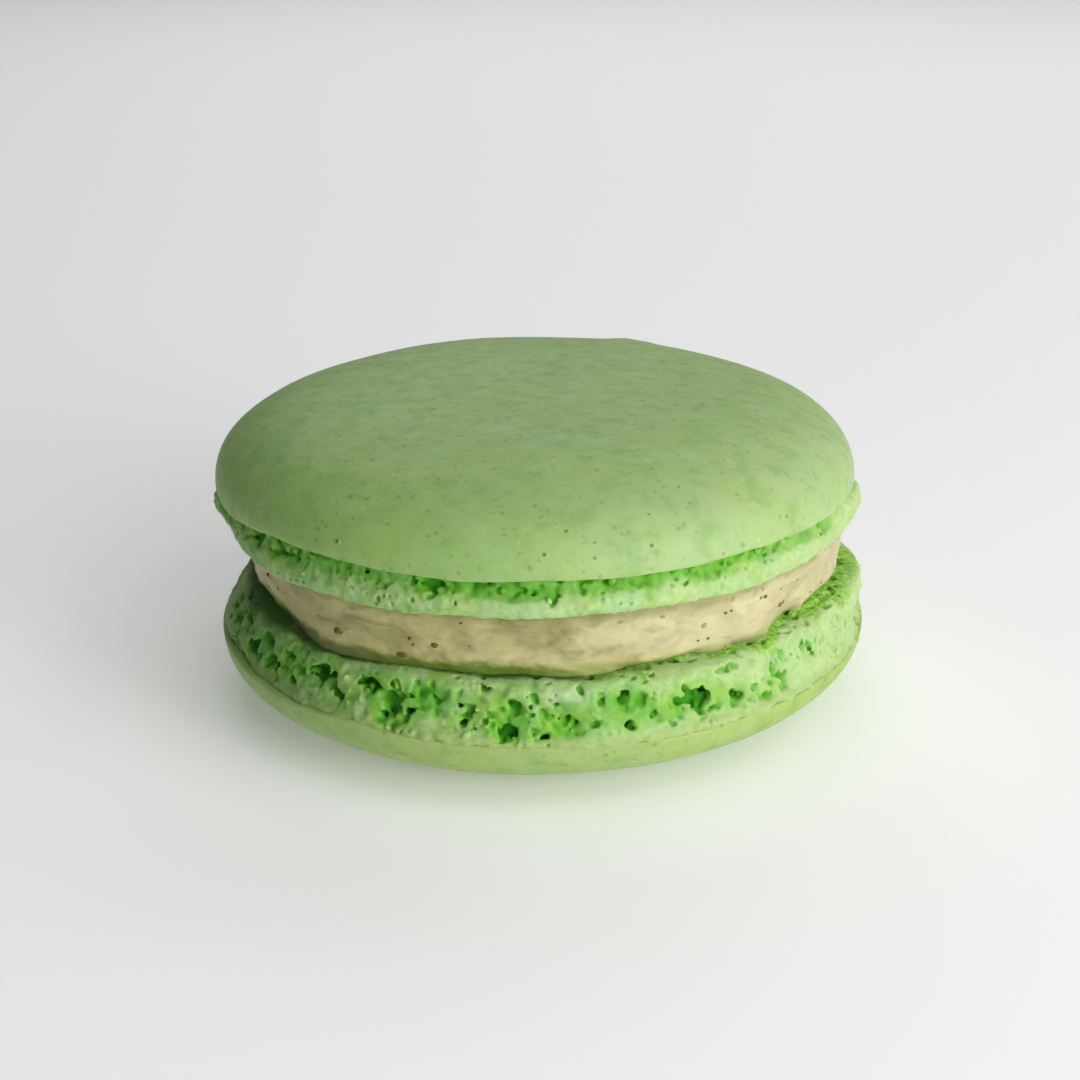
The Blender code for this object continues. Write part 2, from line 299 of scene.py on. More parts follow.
def foot(name, shell, matrix, rng, hollows, lower):
    """The porous collar of a shell: a solid disc with a clodded wall, opened here and there by burst bubbles."""
    v = FOOT_CELL
    H = shell["foot"]
    half = 24.4
    nx = int(2 * half / v)
    nz = int((H + 2.3) / v)
    origin = np.array([-half, -half, -1.30])
    x = origin[0] + np.arange(nx) * v
    h = origin[2] + np.arange(nz) * v
    X, Y = np.meshgrid(x, x, indexing="ij")
    r = np.hypot(X, Y).astype(np.float32)
    th = np.arctan2(Y, X).astype(np.float32) % TAU
    near = (r > 17.5) & (r < 24.3)
    rn = r[near]

    # the wall and the foot's face, on a table of angles and heights
    na = 3072
    ang = np.arange(na) / na * TAU
    A, HH = np.meshgrid(ang, h, indexing="ij")
    slow = RingNoise(rng, 22, 3.0, -2, H + 2)
    edge = RingNoise(rng, 105, 3.0, -2, H + 2)
    region = RingNoise(rng, 30, 2.2, -2, H + 2)
    warp = [0.22 * RingNoise(rng, 130, 0.9, -2, H + 2)(A, HH) + 0.07 * RingNoise(rng, 400, 0.35, -2, H + 2)(A, HH) for _ in range(2)]
    big = heap(rng, ang, h, 1.75, 0.42, 0.26, -2, H + 2, warp)
    mid = heap(rng, ang, h, 0.82, 0.20, 0.15, -2, H + 2, warp)
    fine = heap(rng, ang, h, 0.40, 0.085, 0.065, -2, H + 2, warp)
    rough = np.clip(0.85 + 0.25 * region(A, HH), 0.35, 1.3)
    if lower:
        rough = rough * (1 - 0.38 * bump_at(A, 332, 26)) * (1 - 0.24 * bump_at(A, 272, 28))
        wall = np.interp(HH, [-1.4, -0.3, 0.05, 0.40, 1.4, 2.6, 3.4, 4.5], [22.5, 23.00, 23.00, 22.80, 22.50, 22.20, 21.95, 21.6])
        sloped = np.interp(HH, [-1.4, -0.3, 0.1, 0.8, 1.8, 2.8, 3.3, 3.8, 4.5], [22.3, 22.70, 22.72, 22.62, 22.12, 21.50, 21.18, 20.9, 20.5])
        upright = np.interp(HH, [-1.4, -0.3, 0.05, 0.35, 0.9, 1.4, 2.1, 3.3, 3.8, 4.5], [22.5, 23.00, 23.00, 22.66, 22.52, 22.62, 22.90, 22.95, 22.85, 22.5])
        w_left, w_right = bump_at(A, 182, 26) ** 0.7, bump_at(A, 354, 13)
        wall = wall + (sloped - wall) * w_left
        wall = wall + (upright - wall) * w_right
        wall = wall - 0.34 * (bump_at(A, 212, 26) + 0.6 * bump_at(A, 100, 40)) * smoothstep(HH, 1.3, 0.2)
        rough = rough * (1 + 0.30 * bump_at(A, 218, 22)) * (1 - 0.75 * bump_at(A, 188, 20))
        wall += smoothstep(HH, -0.05, 0.7) * (0.12 * slow(A, HH) + rough * (0.64 * big + 0.50 * mid + 0.36 * fine))
    else:
        lipward = smoothstep(HH, 1.0, 1.7)
        wall = np.interp(HH, [-1.4, 0.0, 0.25, 1.0, 1.6, 2.1, 2.75, 3.4], [21.6, 21.82, 21.84, 21.86, 22.05, 22.12, 21.98, 21.7])
        wall = wall + 1.05 * bump_at(A, 357, 13) * smoothstep(HH, 0.45, 1.4) - 0.35 * bump_at(A, 193, 8) * smoothstep(HH, 1.5, 2.4) + 0.10 * bump_at(A, 218, 9)
        wall = wall + 0.50 * bump_at(A, 186, 9) * smoothstep(HH, 0.1, 0.8) * smoothstep(HH, 2.3, 1.5)
        wall += smoothstep(HH, -0.15, 0.35) * (0.10 * slow(A, HH) + rough * (1 - 0.40 * lipward) * (0.46 * big + 0.54 * mid + 0.48 * fine))
    lip_line = 0.05 * edge(ang, 0 * ang) + 0.06 * slow(ang, 1.0 + 0 * ang)
    if lower:
        lip_line = lip_line + 0.30 * bump_at(ang, 2, 15)
    else:
        # how far the foot's underside hangs below its mean, with one small step in its edge near the front
        lip_line = 0.5 * lip_line + 0.02 * RingNoise(rng, 260, 3.0, -2, H + 2)(ang, 0 * ang) + np.interp(
            np.degrees(ang), [0, 180, 210, 217, 223, 230, 235, 240, 247, 254, 258.8, 260.4, 271, 281, 290, 298, 311, 323, 333, 342, 360],
            [0.2, 0.2, 0.15, 0.18, 0.38, 0.09, 0.2, 0.33, 0.24, 0.12, -0.12, 0.12, 0.1, 0.06, 0.12, 0.2, 0.32, 0.26, 0.29, 0.37, 0.2])

    def face_at(radius, line):
        if lower:
            return H + 0.02 - 0.28 * smoothstep(radius, 19.6, 21.0) - 0.20 * smoothstep(radius, 20.8, 22.2) + line * smoothstep(radius, 18.5, 20.3)
        return H - 0.06 * smoothstep(radius, 20.9, 22.0) + line * smoothstep(radius, 18.5, 20.3)

    rounding = 0.6 if lower else 0.40
    pos = th[near] / TAU * na
    i0 = pos.astype(int) % na
    i1 = (i0 + 1) % na
    w1 = (pos - pos.astype(int)).astype(np.float32)
    line_n = lip_line[i0] * (1 - w1) + lip_line[i1] * w1
    face_n = face_at(rn, line_n)
    f = np.full((nx, nx, nz), 3.0, np.float32)
    disc = r < 18
    for k, hk in enumerate(h):
        a = rn - (wall[i0, k] * (1 - w1) + wall[i1, k] * w1)
        g = np.maximum(smax(a, hk - face_n, rounding), -1.10 - hk)
        layer = f[:, :, k]
        layer[disc] = max(hk - (H + (0.02 if lower else 0.0)), -1.10 - hk)
        layer[near] = g

    # how far out the surface really is, for placing bubbles on it
    radii = np.arange(18.0, 24.2, 0.05)
    ia = np.arange(0, na, 4)
    face_t = face_at(radii[None, :], lip_line[ia][:, None])
    outer = np.zeros((len(ia), nz))
    for k, hk in enumerate(h):
        g = smax(radii[None, :] - wall[ia, k][:, None], hk - face_t, rounding)
        inside = g < 0
        outer[:, k] = np.where(inside.any(1), radii[len(radii) - 1 - np.argmax(inside[:, ::-1], axis=1)], 0)

    def surface(theta, height):
        k = min(max(int(round((height - origin[2]) / v)), 0), nz - 1)
        return outer[int(theta % TAU / TAU * len(ia)) % len(ia), k]

    # a slightly grainy skin
    R2 = r[:, :, None]
    g1 = noise_block(rng, f.shape, v, 0.42)
    g2 = noise_block(rng, f.shape, v, 0.24)
    side = smoothstep(R2, 20.9, 21.7).astype(np.float32)
    high = (1 - 0.6 * smoothstep(h, H - 1.0, H - 0.3))[None, None, :].astype(np.float32)
    inner = smoothstep(R2, 19.4, 20.2).astype(np.float32)
    f += side * high * (0.03 * g1 + 0.032 * g2) + inner * 0.010 * g2
    base = f.copy()
    jag = g1 * 0.10 + g2 * 0.13
    del g1, g2

    def bite(theta, rc, hc, at, ar, ah, warping=1.0, soft=0.0):
        """Take an irregular ellipsoid out. Half sizes: at along the wall, ar outwards, ah upwards."""
        reach = max(at, ah, ar) * 1.35 + 0.30 + soft
        c = np.array([rc * math.cos(theta), rc * math.sin(theta), hc])
        lo = np.maximum(((c - reach - origin) / v).astype(int), 0)
        hi = np.minimum(((c + reach - origin) / v).astype(int) + 2, f.shape)
        if (hi <= lo).any():
            return
        sl = tuple(slice(a, b) for a, b in zip(lo, hi))
        gx = (x[lo[0]:hi[0]] - c[0])[:, None, None]
        gy = (x[lo[1]:hi[1]] - c[1])[None, :, None]
        gh = (h[lo[2]:hi[2]] - c[2])[None, None, :]
        ct, st = math.cos(theta), math.sin(theta)
        rad = gx * ct + gy * st
        tan = -gx * st + gy * ct
        q = np.sqrt((tan / at) ** 2 + (gh / ah) ** 2 + (rad / ar) ** 2)
        small = min(at, ah, ar)
        d = (q - 1) * small + warping * jag[sl] * min(1.0, small / 0.22)
        f[sl] = smax(f[sl], -d, soft) if soft else np.maximum(f[sl], -d)

    def crumb(theta, height, size, out, inside=False):
        """Add a small clod on the wall, or inside a hollow."""
        if not inside and (bump_at(theta, 188, 20) > 0.2 if lower else bump_at(theta, 357, 13) > 0.2):
            return
        rc = surface(theta, height) + out
        reach = size + 0.3
        c = np.array([rc * math.cos(theta), rc * math.sin(theta), height])
        lo = np.maximum(((c - reach - origin) / v).astype(int), 0)
        hi = np.minimum(((c + reach - origin) / v).astype(int) + 2, f.shape)
        if (hi <= lo).any():
            return
        sl = tuple(slice(a, b) for a, b in zip(lo, hi))
        q = np.sqrt(((x[lo[0]:hi[0]] - c[0]) ** 2)[:, None, None] + ((x[lo[1]:hi[1]] - c[1]) ** 2)[None, :, None] + ((h[lo[2]:hi[2]] - c[2]) ** 2)[None, None, :])
        d = q - size / 2 + 0.8 * jag[sl]
        f[sl] = np.minimum(f[sl], d)
        if not inside:
            base[sl] = np.minimum(base[sl], d)

    def hollow(theta, height, w, tall, depth, warping=1.0, soft=0.0):
        """A hollow in the wall: its width, height and depth."""
        ar = max(depth * 0.62, 0.09)
        bite(theta, surface(theta, height) - depth + ar, height, w / 2, ar, tall / 2, warping, soft)

    def dip(theta, height, w, tall, depth):
        """A shallow dip with a soft rim."""
        c = surface(theta, height) - depth + 2.5 * depth
        bite(theta, c, height, w / 2 * 1.25, 2.5 * depth, tall / 2 * 1.25, 0.8, 0.30)

    def burst(theta, height, w, tall, depth):
        """A ragged hollow: a bowl with small bubbles broken into its rim and clods left inside."""
        small = min(w, tall)
        if small > 0.4:
            dip(theta, height, w * 1.05, tall * 1.05, min(0.30 * depth, 0.25))
        hollow(theta, height, w * 0.90, tall * 0.90, depth * 0.95, 0.9)
        n = int(np.clip(2 + 2.2 * w * tall, 2, 7 if w * tall < 3 else 5))
        for _ in range(n):
            a, q = rng.uniform(0, TAU), rng.uniform(0.70, 1.0)
            s = max(small * rng.uniform(0.22, 0.48), 0.17)
            along, rise = q * math.cos(a) * max(w - s, 0) / 2, q * math.sin(a) * max(tall - s, 0) / 2
            hollow(theta + along / 22, height + rise, s * rng.uniform(0.9, 1.5), s * rng.uniform(0.85, 1.1), min(depth * rng.uniform(0.35, 0.8), 1.6 * s), 1.0)
        for _ in range(int(min(1.2 * w * tall + 0.5, 2))):
            a, q = rng.uniform(0, TAU), rng.uniform(0.65, 1.0)
            crumb(theta + q * math.cos(a) * w / 44, height + q * math.sin(a) * tall / 2, rng.uniform(0.16, 0.28), -depth * rng.uniform(0.3, 0.7), True)

    gather = RingNoise(rng, 56, 1.6, -2, H + 2)

    def calm(t):
        """Where the baked wall is smoother."""
        return 2.0 * float(bump_at(t, 338, 30)) + 0.9 * float(bump_at(t, 250, 34)) if lower else 0.5 * float(bump_at(t, 300, 30)) + 0.9 * float(bump_at(t, 345, 24))

    def strew(count, size, heights, stretch, depth, cluster=0.0, front=True, how=None):
        for _ in range(count):
            for _ in range(12):
                t, height = rng.uniform(0, TAU), rng.uniform(*heights)
                if gather(np.array(t), np.array(height)) > rng.normal(0, 0.3) + cluster + calm(t):
                    break
            s = size[0] * (size[1] / size[0]) ** (rng.random() ** 1.5)
            e, d = rng.uniform(*stretch), rng.uniform(*depth)
            if not front and math.radians(198) < t < math.radians(348):
                continue
            (how or hollow)(t, height, s * e, s, s * d)

    if lower:
        for _ in range(420):
            crumb(rng.uniform(0, TAU), rng.uniform(0.1, 3.0), 0.20 * 2.0 ** rng.random(), rng.uniform(-0.06, 0.02))
        strew(90, (0.6, 1.4), (0.4, 3.0), (0.9, 1.8), (0.15, 0.32), -0.2, how=dip)
        strew(80, (0.6, 1.3), (0.4, 2.9), (0.9, 1.8), (0.5, 0.8), -0.3, front=False, how=burst)
        strew(70, (0.30, 0.60), (0.25, 3.2), (0.8, 1.9), (0.45, 0.8), 0.3, front=False, how=burst)
        strew(14, (0.28, 0.50), (0.25, 3.2), (0.8, 1.7), (0.5, 0.9), 0.3, how=burst)
        strew(230, (0.15, 0.29), (0.12, 3.5), (0.8, 1.7), (0.4, 0.8), 0.5)
        for deg, height, w, tall, depth in hollows:
            burst(math.radians(deg), height, w * 1.15, tall * 1.15, depth)
        # the torn inner edge of the face, beside the cream
        torn = np.interp(np.arange(360), [0, 20, 60, 150, 175, 184, 277, 284, 288, 300, 304, 309, 314, 321, 330, 336, 346, 360],
                         [21.2, 20.9, 20.7, 20.7, 20.5, 19.4, 19.4, 20.5, 20.6, 20.8, 21.0, 21.4, 21.7, 21.5, 21.5, 21.3, 21.5, 21.2])
        for _ in range(560):
            t = rng.uniform(0, TAU)
            far = torn[int(math.degrees(t)) % 360]
            if far < 19.6:
                continue
            rr = 19.4 + rng.random() * (far - 19.4) + rng.normal(0, 0.05)
            s = rng.uniform(0.11, 0.27)
            bite(t, rr, float(face_at(rr, 0.0)) - rng.uniform(-0.03, 0.08), s * rng.uniform(0.9, 1.6), s, 0.8 * s, 1.1)
        for _ in range(80):      # pinholes in the flat face beside the cream
            t, rr, s = rng.uniform(0, TAU), rng.uniform(20.8, 21.7), rng.uniform(0.08, 0.15)
            bite(t, rr, float(face_at(rr, 0.0)) - 0.02, s * 1.3, s, s)
    else:
        for _ in range(160):
            crumb(rng.uniform(0, TAU), rng.uniform(0.3, 1.7), 0.19 * 1.8 ** rng.random(), rng.uniform(-0.06, 0.01))
        strew(60, (0.5, 0.9), (0.3, 1.2), (1.2, 2.6), (0.20, 0.40), -0.2, how=dip)
        strew(50, (0.45, 0.85), (0.35, 0.9), (1.6, 3.2), (0.6, 0.9), -0.3, front=False, how=burst)
        strew(40, (0.25, 0.5), (0.2, 1.3), (0.9, 2.2), (0.45, 0.7), 0.2, front=False, how=burst)
        strew(14, (0.25, 0.5), (0.2, 1.2), (0.9, 2.2), (0.45, 0.7), 0.2, how=burst)
        strew(110, (0.15, 0.26), (0.12, 1.3), (0.8, 1.7), (0.3, 0.6), 0.45)
        strew(70, (0.14, 0.24), (1.5, 2.6), (0.8, 1.7), (0.3, 0.6), 0.3)
        for deg, height, w, tall, depth in hollows:
            burst(math.radians(deg), height, w * 1.08, tall * 1.10, depth * (0.50 if deg < 290 else 0.38))

    # mesh
    f[:1], f[-1:], f[:, :1], f[:, -1:], f[:, :, :1], f[:, :, -1:] = 1, 1, 1, 1, 1, 1
    grid = openvdb.FloatGrid(background=1.0)
    grid.copyFromArray(np.clip(f, -0.6, 0.6), tolerance=0.0)
    pts, tris, quads = grid.convertToPolygons(isovalue=0.0, adaptivity=ADAPT)
    pts = pts.astype(np.float64)
    tris = tris.astype(np.int64)
    quads = quads.astype(np.int64)
    keep = biggest_part(len(pts), tris, quads)
    index = np.cumsum(keep) - 1
    tris = index[tris[keep[tris[:, 0]]]] if len(tris) else tris
    quads = index[quads[keep[quads[:, 0]]]] if len(quads) else quads
    pts = pts[keep] * v + origin
    every = np.concatenate([tris, quads[:, [0, 1, 2]], quads[:, [0, 2, 3]]])
    volume = signed_volume(pts, every)
    if (volume < 0) != (matrix.determinant() < 0):
        tris, quads = tris[:, ::-1], quads[:, ::-1]
    print(name, "cells", f.shape, "triangles", len(every), "volume", round(volume, 1))
    obj = new_mesh(name, pts, tris, quads, None)
    thin_out(obj, MOST_TRIANGLES)
    co = np.zeros(len(obj.data.vertices) * 3)
    obj.data.vertices.foreach_get("co", co)
    pts = co.reshape(-1, 3) / MM

    # what the material reads: how enclosed each spot is, how deep it lies under the unopened surface, how much is open
    # around it; the material paints shade and a green glow into the enclosed and deep spots
    solid = (f < 0).astype(np.float32)
    set_attribute(obj, "tight", sample(box_blur(solid, max(1, round(0.28 / v))), origin, v, pts))
    set_attribute(obj, "wide", sample(box_blur(solid, max(2, round(0.80 / v))), origin, v, pts))
    set_attribute(obj, "depth", np.clip(-sample(base, origin, v, pts), 0, 2))
    opened = ((base < 0) & (f >= 0)).astype(np.float32)
    set_attribute(obj, "opened", sample(box_blur(opened, max(2, round(0.90 / v))), origin, v, pts))
    set_attribute(obj, "rise", pts[:, 2] / H)
    angle, radius = np.arctan2(pts[:, 1], pts[:, 0]) % TAU, np.hypot(pts[:, 0], pts[:, 1])
    # darker on the left side: a painted shade
    set_attribute(obj, "foot_left_shade", bump_at(angle, 196, 36))
    # paler on the right side: a painted light
    set_attribute(obj, "foot_right_light", bump_at(angle, 338, 44))
    turn = np.degrees(angle)
    # how far from the cream the painted shade beside it reaches, by angle
    reach = np.interp(turn, [0, 30, 60, 150, 180, 205, 222, 240, 275, 286, 300, 309, 330, 342, 355, 360], [1.8, 0.8, 0.6, 0.8, 1.8, 1.8, 0.60, 0.3, 0.40, 0.7, 0.9, 1.2, 1.5, 2.2, 2.3, 1.8])
    reach = reach * (1 + 0.30 * edge(angle, 2.0 + 0 * angle))
    set_attribute(obj, "cream_edge_shade", smoothstep(radius, contact_radius(turn) + reach, contact_radius(turn) + 0.45 * reach) * smoothstep(pts[:, 2], H - 1.2, H - 0.8))
    # the left side, where that painted shade is darkest
    set_attribute(obj, "left_shade_side", smoothstep(np.abs((turn - 222 + 180) % 360 - 180), 76, 46))
    ragged = 0.16 * RingNoise(rng, 330, 0.40, -2, H + 2)(angle, pts[:, 2]) + 0.14 * RingNoise(rng, 120, 1.1, -2, H + 2)(angle, pts[:, 2])
    for attribute, sign in (("stained", 1), ("paled", -1)):
        value = np.zeros(len(pts))
        for deg, height, w, tall, strength in LOW_STAINS if lower else UP_STAINS:
            if strength * sign > 0:
                along = ((angle - math.radians(deg) + math.pi) % TAU - math.pi) * 22
                q = np.hypot(along / (w / 2), (pts[:, 2] - height) / (tall / 2)) + ragged
                value = np.maximum(value, abs(strength) * smoothstep(q, 1.25, 0.75))
        set_attribute(obj, attribute, value)
    obj.data.transform(matrix)
    return obj


def thin_out(obj, most):
    """Collapse edges until a mesh has few enough triangles; flat stretches go first."""
    count = sum(len(p.vertices) - 2 for p in obj.data.polygons)
    if count <= most:
        return
    mod = obj.modifiers.new("fewer", "DECIMATE")
    mod.ratio = most / count
    depsgraph = bpy.context.evaluated_depsgraph_get()
    mesh = bpy.data.meshes.new_from_object(obj.evaluated_get(depsgraph))
    obj.modifiers.clear()
    old = obj.data
    obj.data = mesh
    bpy.data.meshes.remove(old)
    mesh.name = obj.name
    mesh.polygons.foreach_set("use_smooth", np.full(len(mesh.polygons), True))
    mesh.update()


# ------------------------------------------------------------------ the smooth caps
def cap(name, shell, matrix, rng, pores, lower):
    """The smooth dome with its thin edge, closed underneath."""
    around = 520
    R, D, n, m = shell["cap_r"], shell["cap_h"], shell["n"], shell["m"]
    stations = []
    steps = 64
    for i in range(1, steps + 1):
        a = math.pi / 2 * (1 - i / steps)
        rr = R * math.cos(a) ** (2 / n)
        hh = -D * math.sin(a) ** (2 / m) if a > 1e-9 else 0.0
        if rr > 1.2:
            stations.append((rr, hh))
    # even out the spacing along the profile
    prof = np.array([(0.0, -D)] + stations)
    seg = np.r_[0, np.cumsum(np.hypot(*np.diff(prof, axis=0).T))]
    s = np.concatenate([np.linspace(0.8, seg[-1] - 6.0, 34, endpoint=False), np.linspace(seg[-1] - 6.0, seg[-1], 34)])
    prof = np.c_[np.interp(s, seg, prof[:, 0]), np.interp(s, seg, prof[:, 1])]
    if lower:
        lip = [(R - 0.02, 0.01), (R - 0.06, 0.03), (R - 0.14, 0.04), (R - 0.30, 0.04), (R - 0.55, 0.03), (R - 1.1, 0.0), (R - 2.2, -0.10)]
    else:
        lip = [(R - 0.01, 0.03), (R - 0.05, 0.06), (R - 0.12, 0.07), (R - 0.30, 0.06), (R - 0.55, 0.05), (R - 1.1, 0.02), (R - 2.2, -0.05)]
    prof = np.vstack([prof, lip])
    th = np.arange(around) / around * TAU
    TH, S = np.meshgrid(th, np.arange(len(prof)), indexing="ij")
    rad = prof[:, 0][None, :] * np.ones_like(TH)
    hgt = prof[:, 1][None, :] * np.ones_like(TH)
    # a little out of round, with an edge that wanders
    edge1, edge2, edge3 = RingNoise(rng, 16, 2, 0, 1), RingNoise(rng, 60, 2, 0, 1), RingNoise(rng, 170, 2, 0, 1)
    rim = smoothstep(rad, R - 2.5, R - 0.1)
    rad = rad * (1 + rim * (0.0012 * np.cos(2 * TH + 0.7) + 0.0012 * edge1(TH, 0 * TH)))
    last = smoothstep(hgt, -0.9, 0.05)
    turn = np.degrees(TH)
    if lower:
        hgt = hgt - last * np.interp(turn, [0, 180, 212, 217, 222, 230, 237, 242, 250, 256, 300, 315, 360], [0.02, 0.02, 0.04, 0.12, 0.26, 0.22, 0.08, 0.10, 0.28, 0.32, 0.32, 0.16, 0.02])
    else:
        hgt = hgt - last * np.interp(turn, [0, 190, 200, 208, 221, 232, 241, 250, 262, 285, 300, 360], [0.0, 0.0, -0.12, -0.06, 0.30, 0.24, 0.08, 0.06, 0.05, 0.07, 0.03, 0.0])
    hgt = hgt + last * (0.035 * edge2(TH, 0 * TH) + 0.022 * edge3(TH, 0 * TH)) + rim * 0.06 * edge1(TH, 0 * TH)
    # broad, shallow unevenness of the baked skin
    x, y = rad * np.cos(TH), rad * np.sin(TH)
    wob = np.zeros_like(x)
    for wave, size in ((9.0, 0.045), (4.0, 0.018), (1.7, 0.006)):
        g = rng.standard_normal((int(52 / wave) + 6,) * 2)
        u, w = (x + 26) / wave + 1, (y + 26) / wave + 1
        i, j = np.floor(u).astype(int), np.floor(w).astype(int)
        fu, fw = u - i, w - j
        def wt(f):
            return ((1 - f) ** 3 / 6, (3 * f ** 3 - 6 * f ** 2 + 4) / 6, (-3 * f ** 3 + 3 * f ** 2 + 3 * f + 1) / 6, f ** 3 / 6)
        a_, b_ = wt(fu), wt(fw)
        for p in range(4):
            for q in range(4):
                wob += size / 0.45 * g[i + p - 1, j + q - 1] * a_[p] * b_[q]
    hgt = hgt - wob * smoothstep(-hgt, 0.2, 2.5)
    if not lower:
        for bx, by, size, rise in ((7.3, 17.4, 1.3, 0.22), (9.0, 17.0, 0.9, 0.12), (-6.84, 11.59, 0.45, 0.16)):
            hgt = hgt - rise * np.exp(-((x - bx) ** 2 + (y - by) ** 2) / size ** 2) * smoothstep(-hgt, 0.2, 2.5)
    if lower:
        # the flat spot it stands on
        hgt = np.maximum(hgt, -D + 0.0)
    x, y = rad * np.cos(TH), rad * np.sin(TH)
    k = len(prof)
    verts = np.stack([x, y, hgt], -1).reshape(-1, 3)
    pole_top, pole_bot = len(verts), len(verts) + 1
    verts = np.vstack([verts, [[0, 0, float(hgt[:, 0].mean())], [0, 0, prof[-1, 1]]]])
    a = (np.arange(around)[:, None] * k + np.arange(k - 1)[None, :]).ravel()
    b = (((np.arange(around) + 1) % around)[:, None] * k + np.arange(k - 1)[None, :]).ravel()
    quads = np.c_[a, a + 1, b + 1, b]
    i0 = np.arange(around) * k
    i1 = ((np.arange(around) + 1) % around) * k
    tris = np.vstack([np.c_[np.full(around, pole_top), i0, i1], np.c_[np.full(around, pole_bot), i1 + k - 1, i0 + k - 1]])
    every = np.concatenate([tris, quads[:, [0, 1, 2]], quads[:, [0, 2, 3]]])
    if (signed_volume(verts, every) < 0) != (matrix.determinant() < 0):
        tris, quads = tris[:, ::-1], quads[:, ::-1]
    obj = new_mesh(name, verts, tris, quads, None)
    cut_pores(obj, shell, pores)
    co = np.zeros(len(obj.data.vertices) * 3)
    obj.data.vertices.foreach_get("co", co)
    co = co.reshape(-1, 3)
    rr = np.hypot(co[:, 0], co[:, 1]) / MM
    across, along = (0.40, 0.85) if lower else (-0.35, 0.70)
    # darker and greener towards the left: a painted shade on that side
    set_attribute(obj, "cap_left_shade", smoothstep(co[:, 0] / MM / R, -0.20, -0.85))
    # paler round the right front rim: a painted highlight
    set_attribute(obj, "cap_right_highlight", smoothstep(rr / R, 0.60, 0.97) * smoothstep(co[:, 0] / MM / R, across, along) * smoothstep(co[:, 1] / MM / R, 0.35, -0.25))
    obj.data.transform(matrix)
    return obj


def cut_pores(obj, shell, pores):
    """Small round burst bubbles: the mesh is refined around each and pushed in. pores: (x, y, radius, depth) in mm."""
    if not len(pores):
        set_attribute(obj, "pore", np.zeros(len(obj.data.vertices)))
        return
    bm = bmesh.new()
    bm.from_mesh(obj.data)
    layer = bm.verts.layers.float.new("pore")
    R, D, n, m = shell["cap_r"], shell["cap_h"], shell["n"], shell["m"]
    centres = []
    for x, y, r, d in pores:
        rr = math.hypot(x, y)
        z = -D * max(0.0, 1 - (rr / R) ** n) ** (1 / m)
        centres.append((Vector((x, y, z)) * MM, r * MM, d * MM))
    for _ in range(2):
        chosen = set()
        verts = np.array([v.co for v in bm.verts])
        bm.verts.ensure_lookup_table()
        for c, r, d in centres:
            near = np.where(((verts - np.array(c)) ** 2).sum(1) < (r * 1.9 + 0.16 * MM) ** 2)[0]
            for i in near:
                if bm.verts[i].co.z < 0.12 * MM:
                    for f in bm.verts[i].link_faces:
                        chosen.update(f.edges)
        chosen = [e for e in chosen if e.calc_length() > 0.06 * MM]
        if chosen:
            bmesh.ops.subdivide_edges(bm, edges=chosen, cuts=1, use_grid_fill=True)
    bm.normal_update()
    verts = np.array([v.co for v in bm.verts])
    normals = np.array([v.normal for v in bm.verts])
    bm.verts.ensure_lookup_table()
    for c, r, d in centres:
        dist = np.sqrt(((verts - np.array(c)) ** 2).sum(1))
        for i in np.where(dist < r * 1.5)[0]:
            q = dist[i] / r
            drop = math.exp(-(q / 0.72) ** 4)
            v = bm.verts[i]
            v.co = Vector(verts[i] - normals[i] * d * drop)
            v[layer] = max(v[layer], drop)
    bmesh.ops.triangulate(bm, faces=[f for f in bm.faces if len(f.verts) > 4])
    bm.to_mesh(obj.data)
    bm.free()
    obj.data.polygons.foreach_set("use_smooth", np.full(len(obj.data.polygons), True))
    obj.data.update()


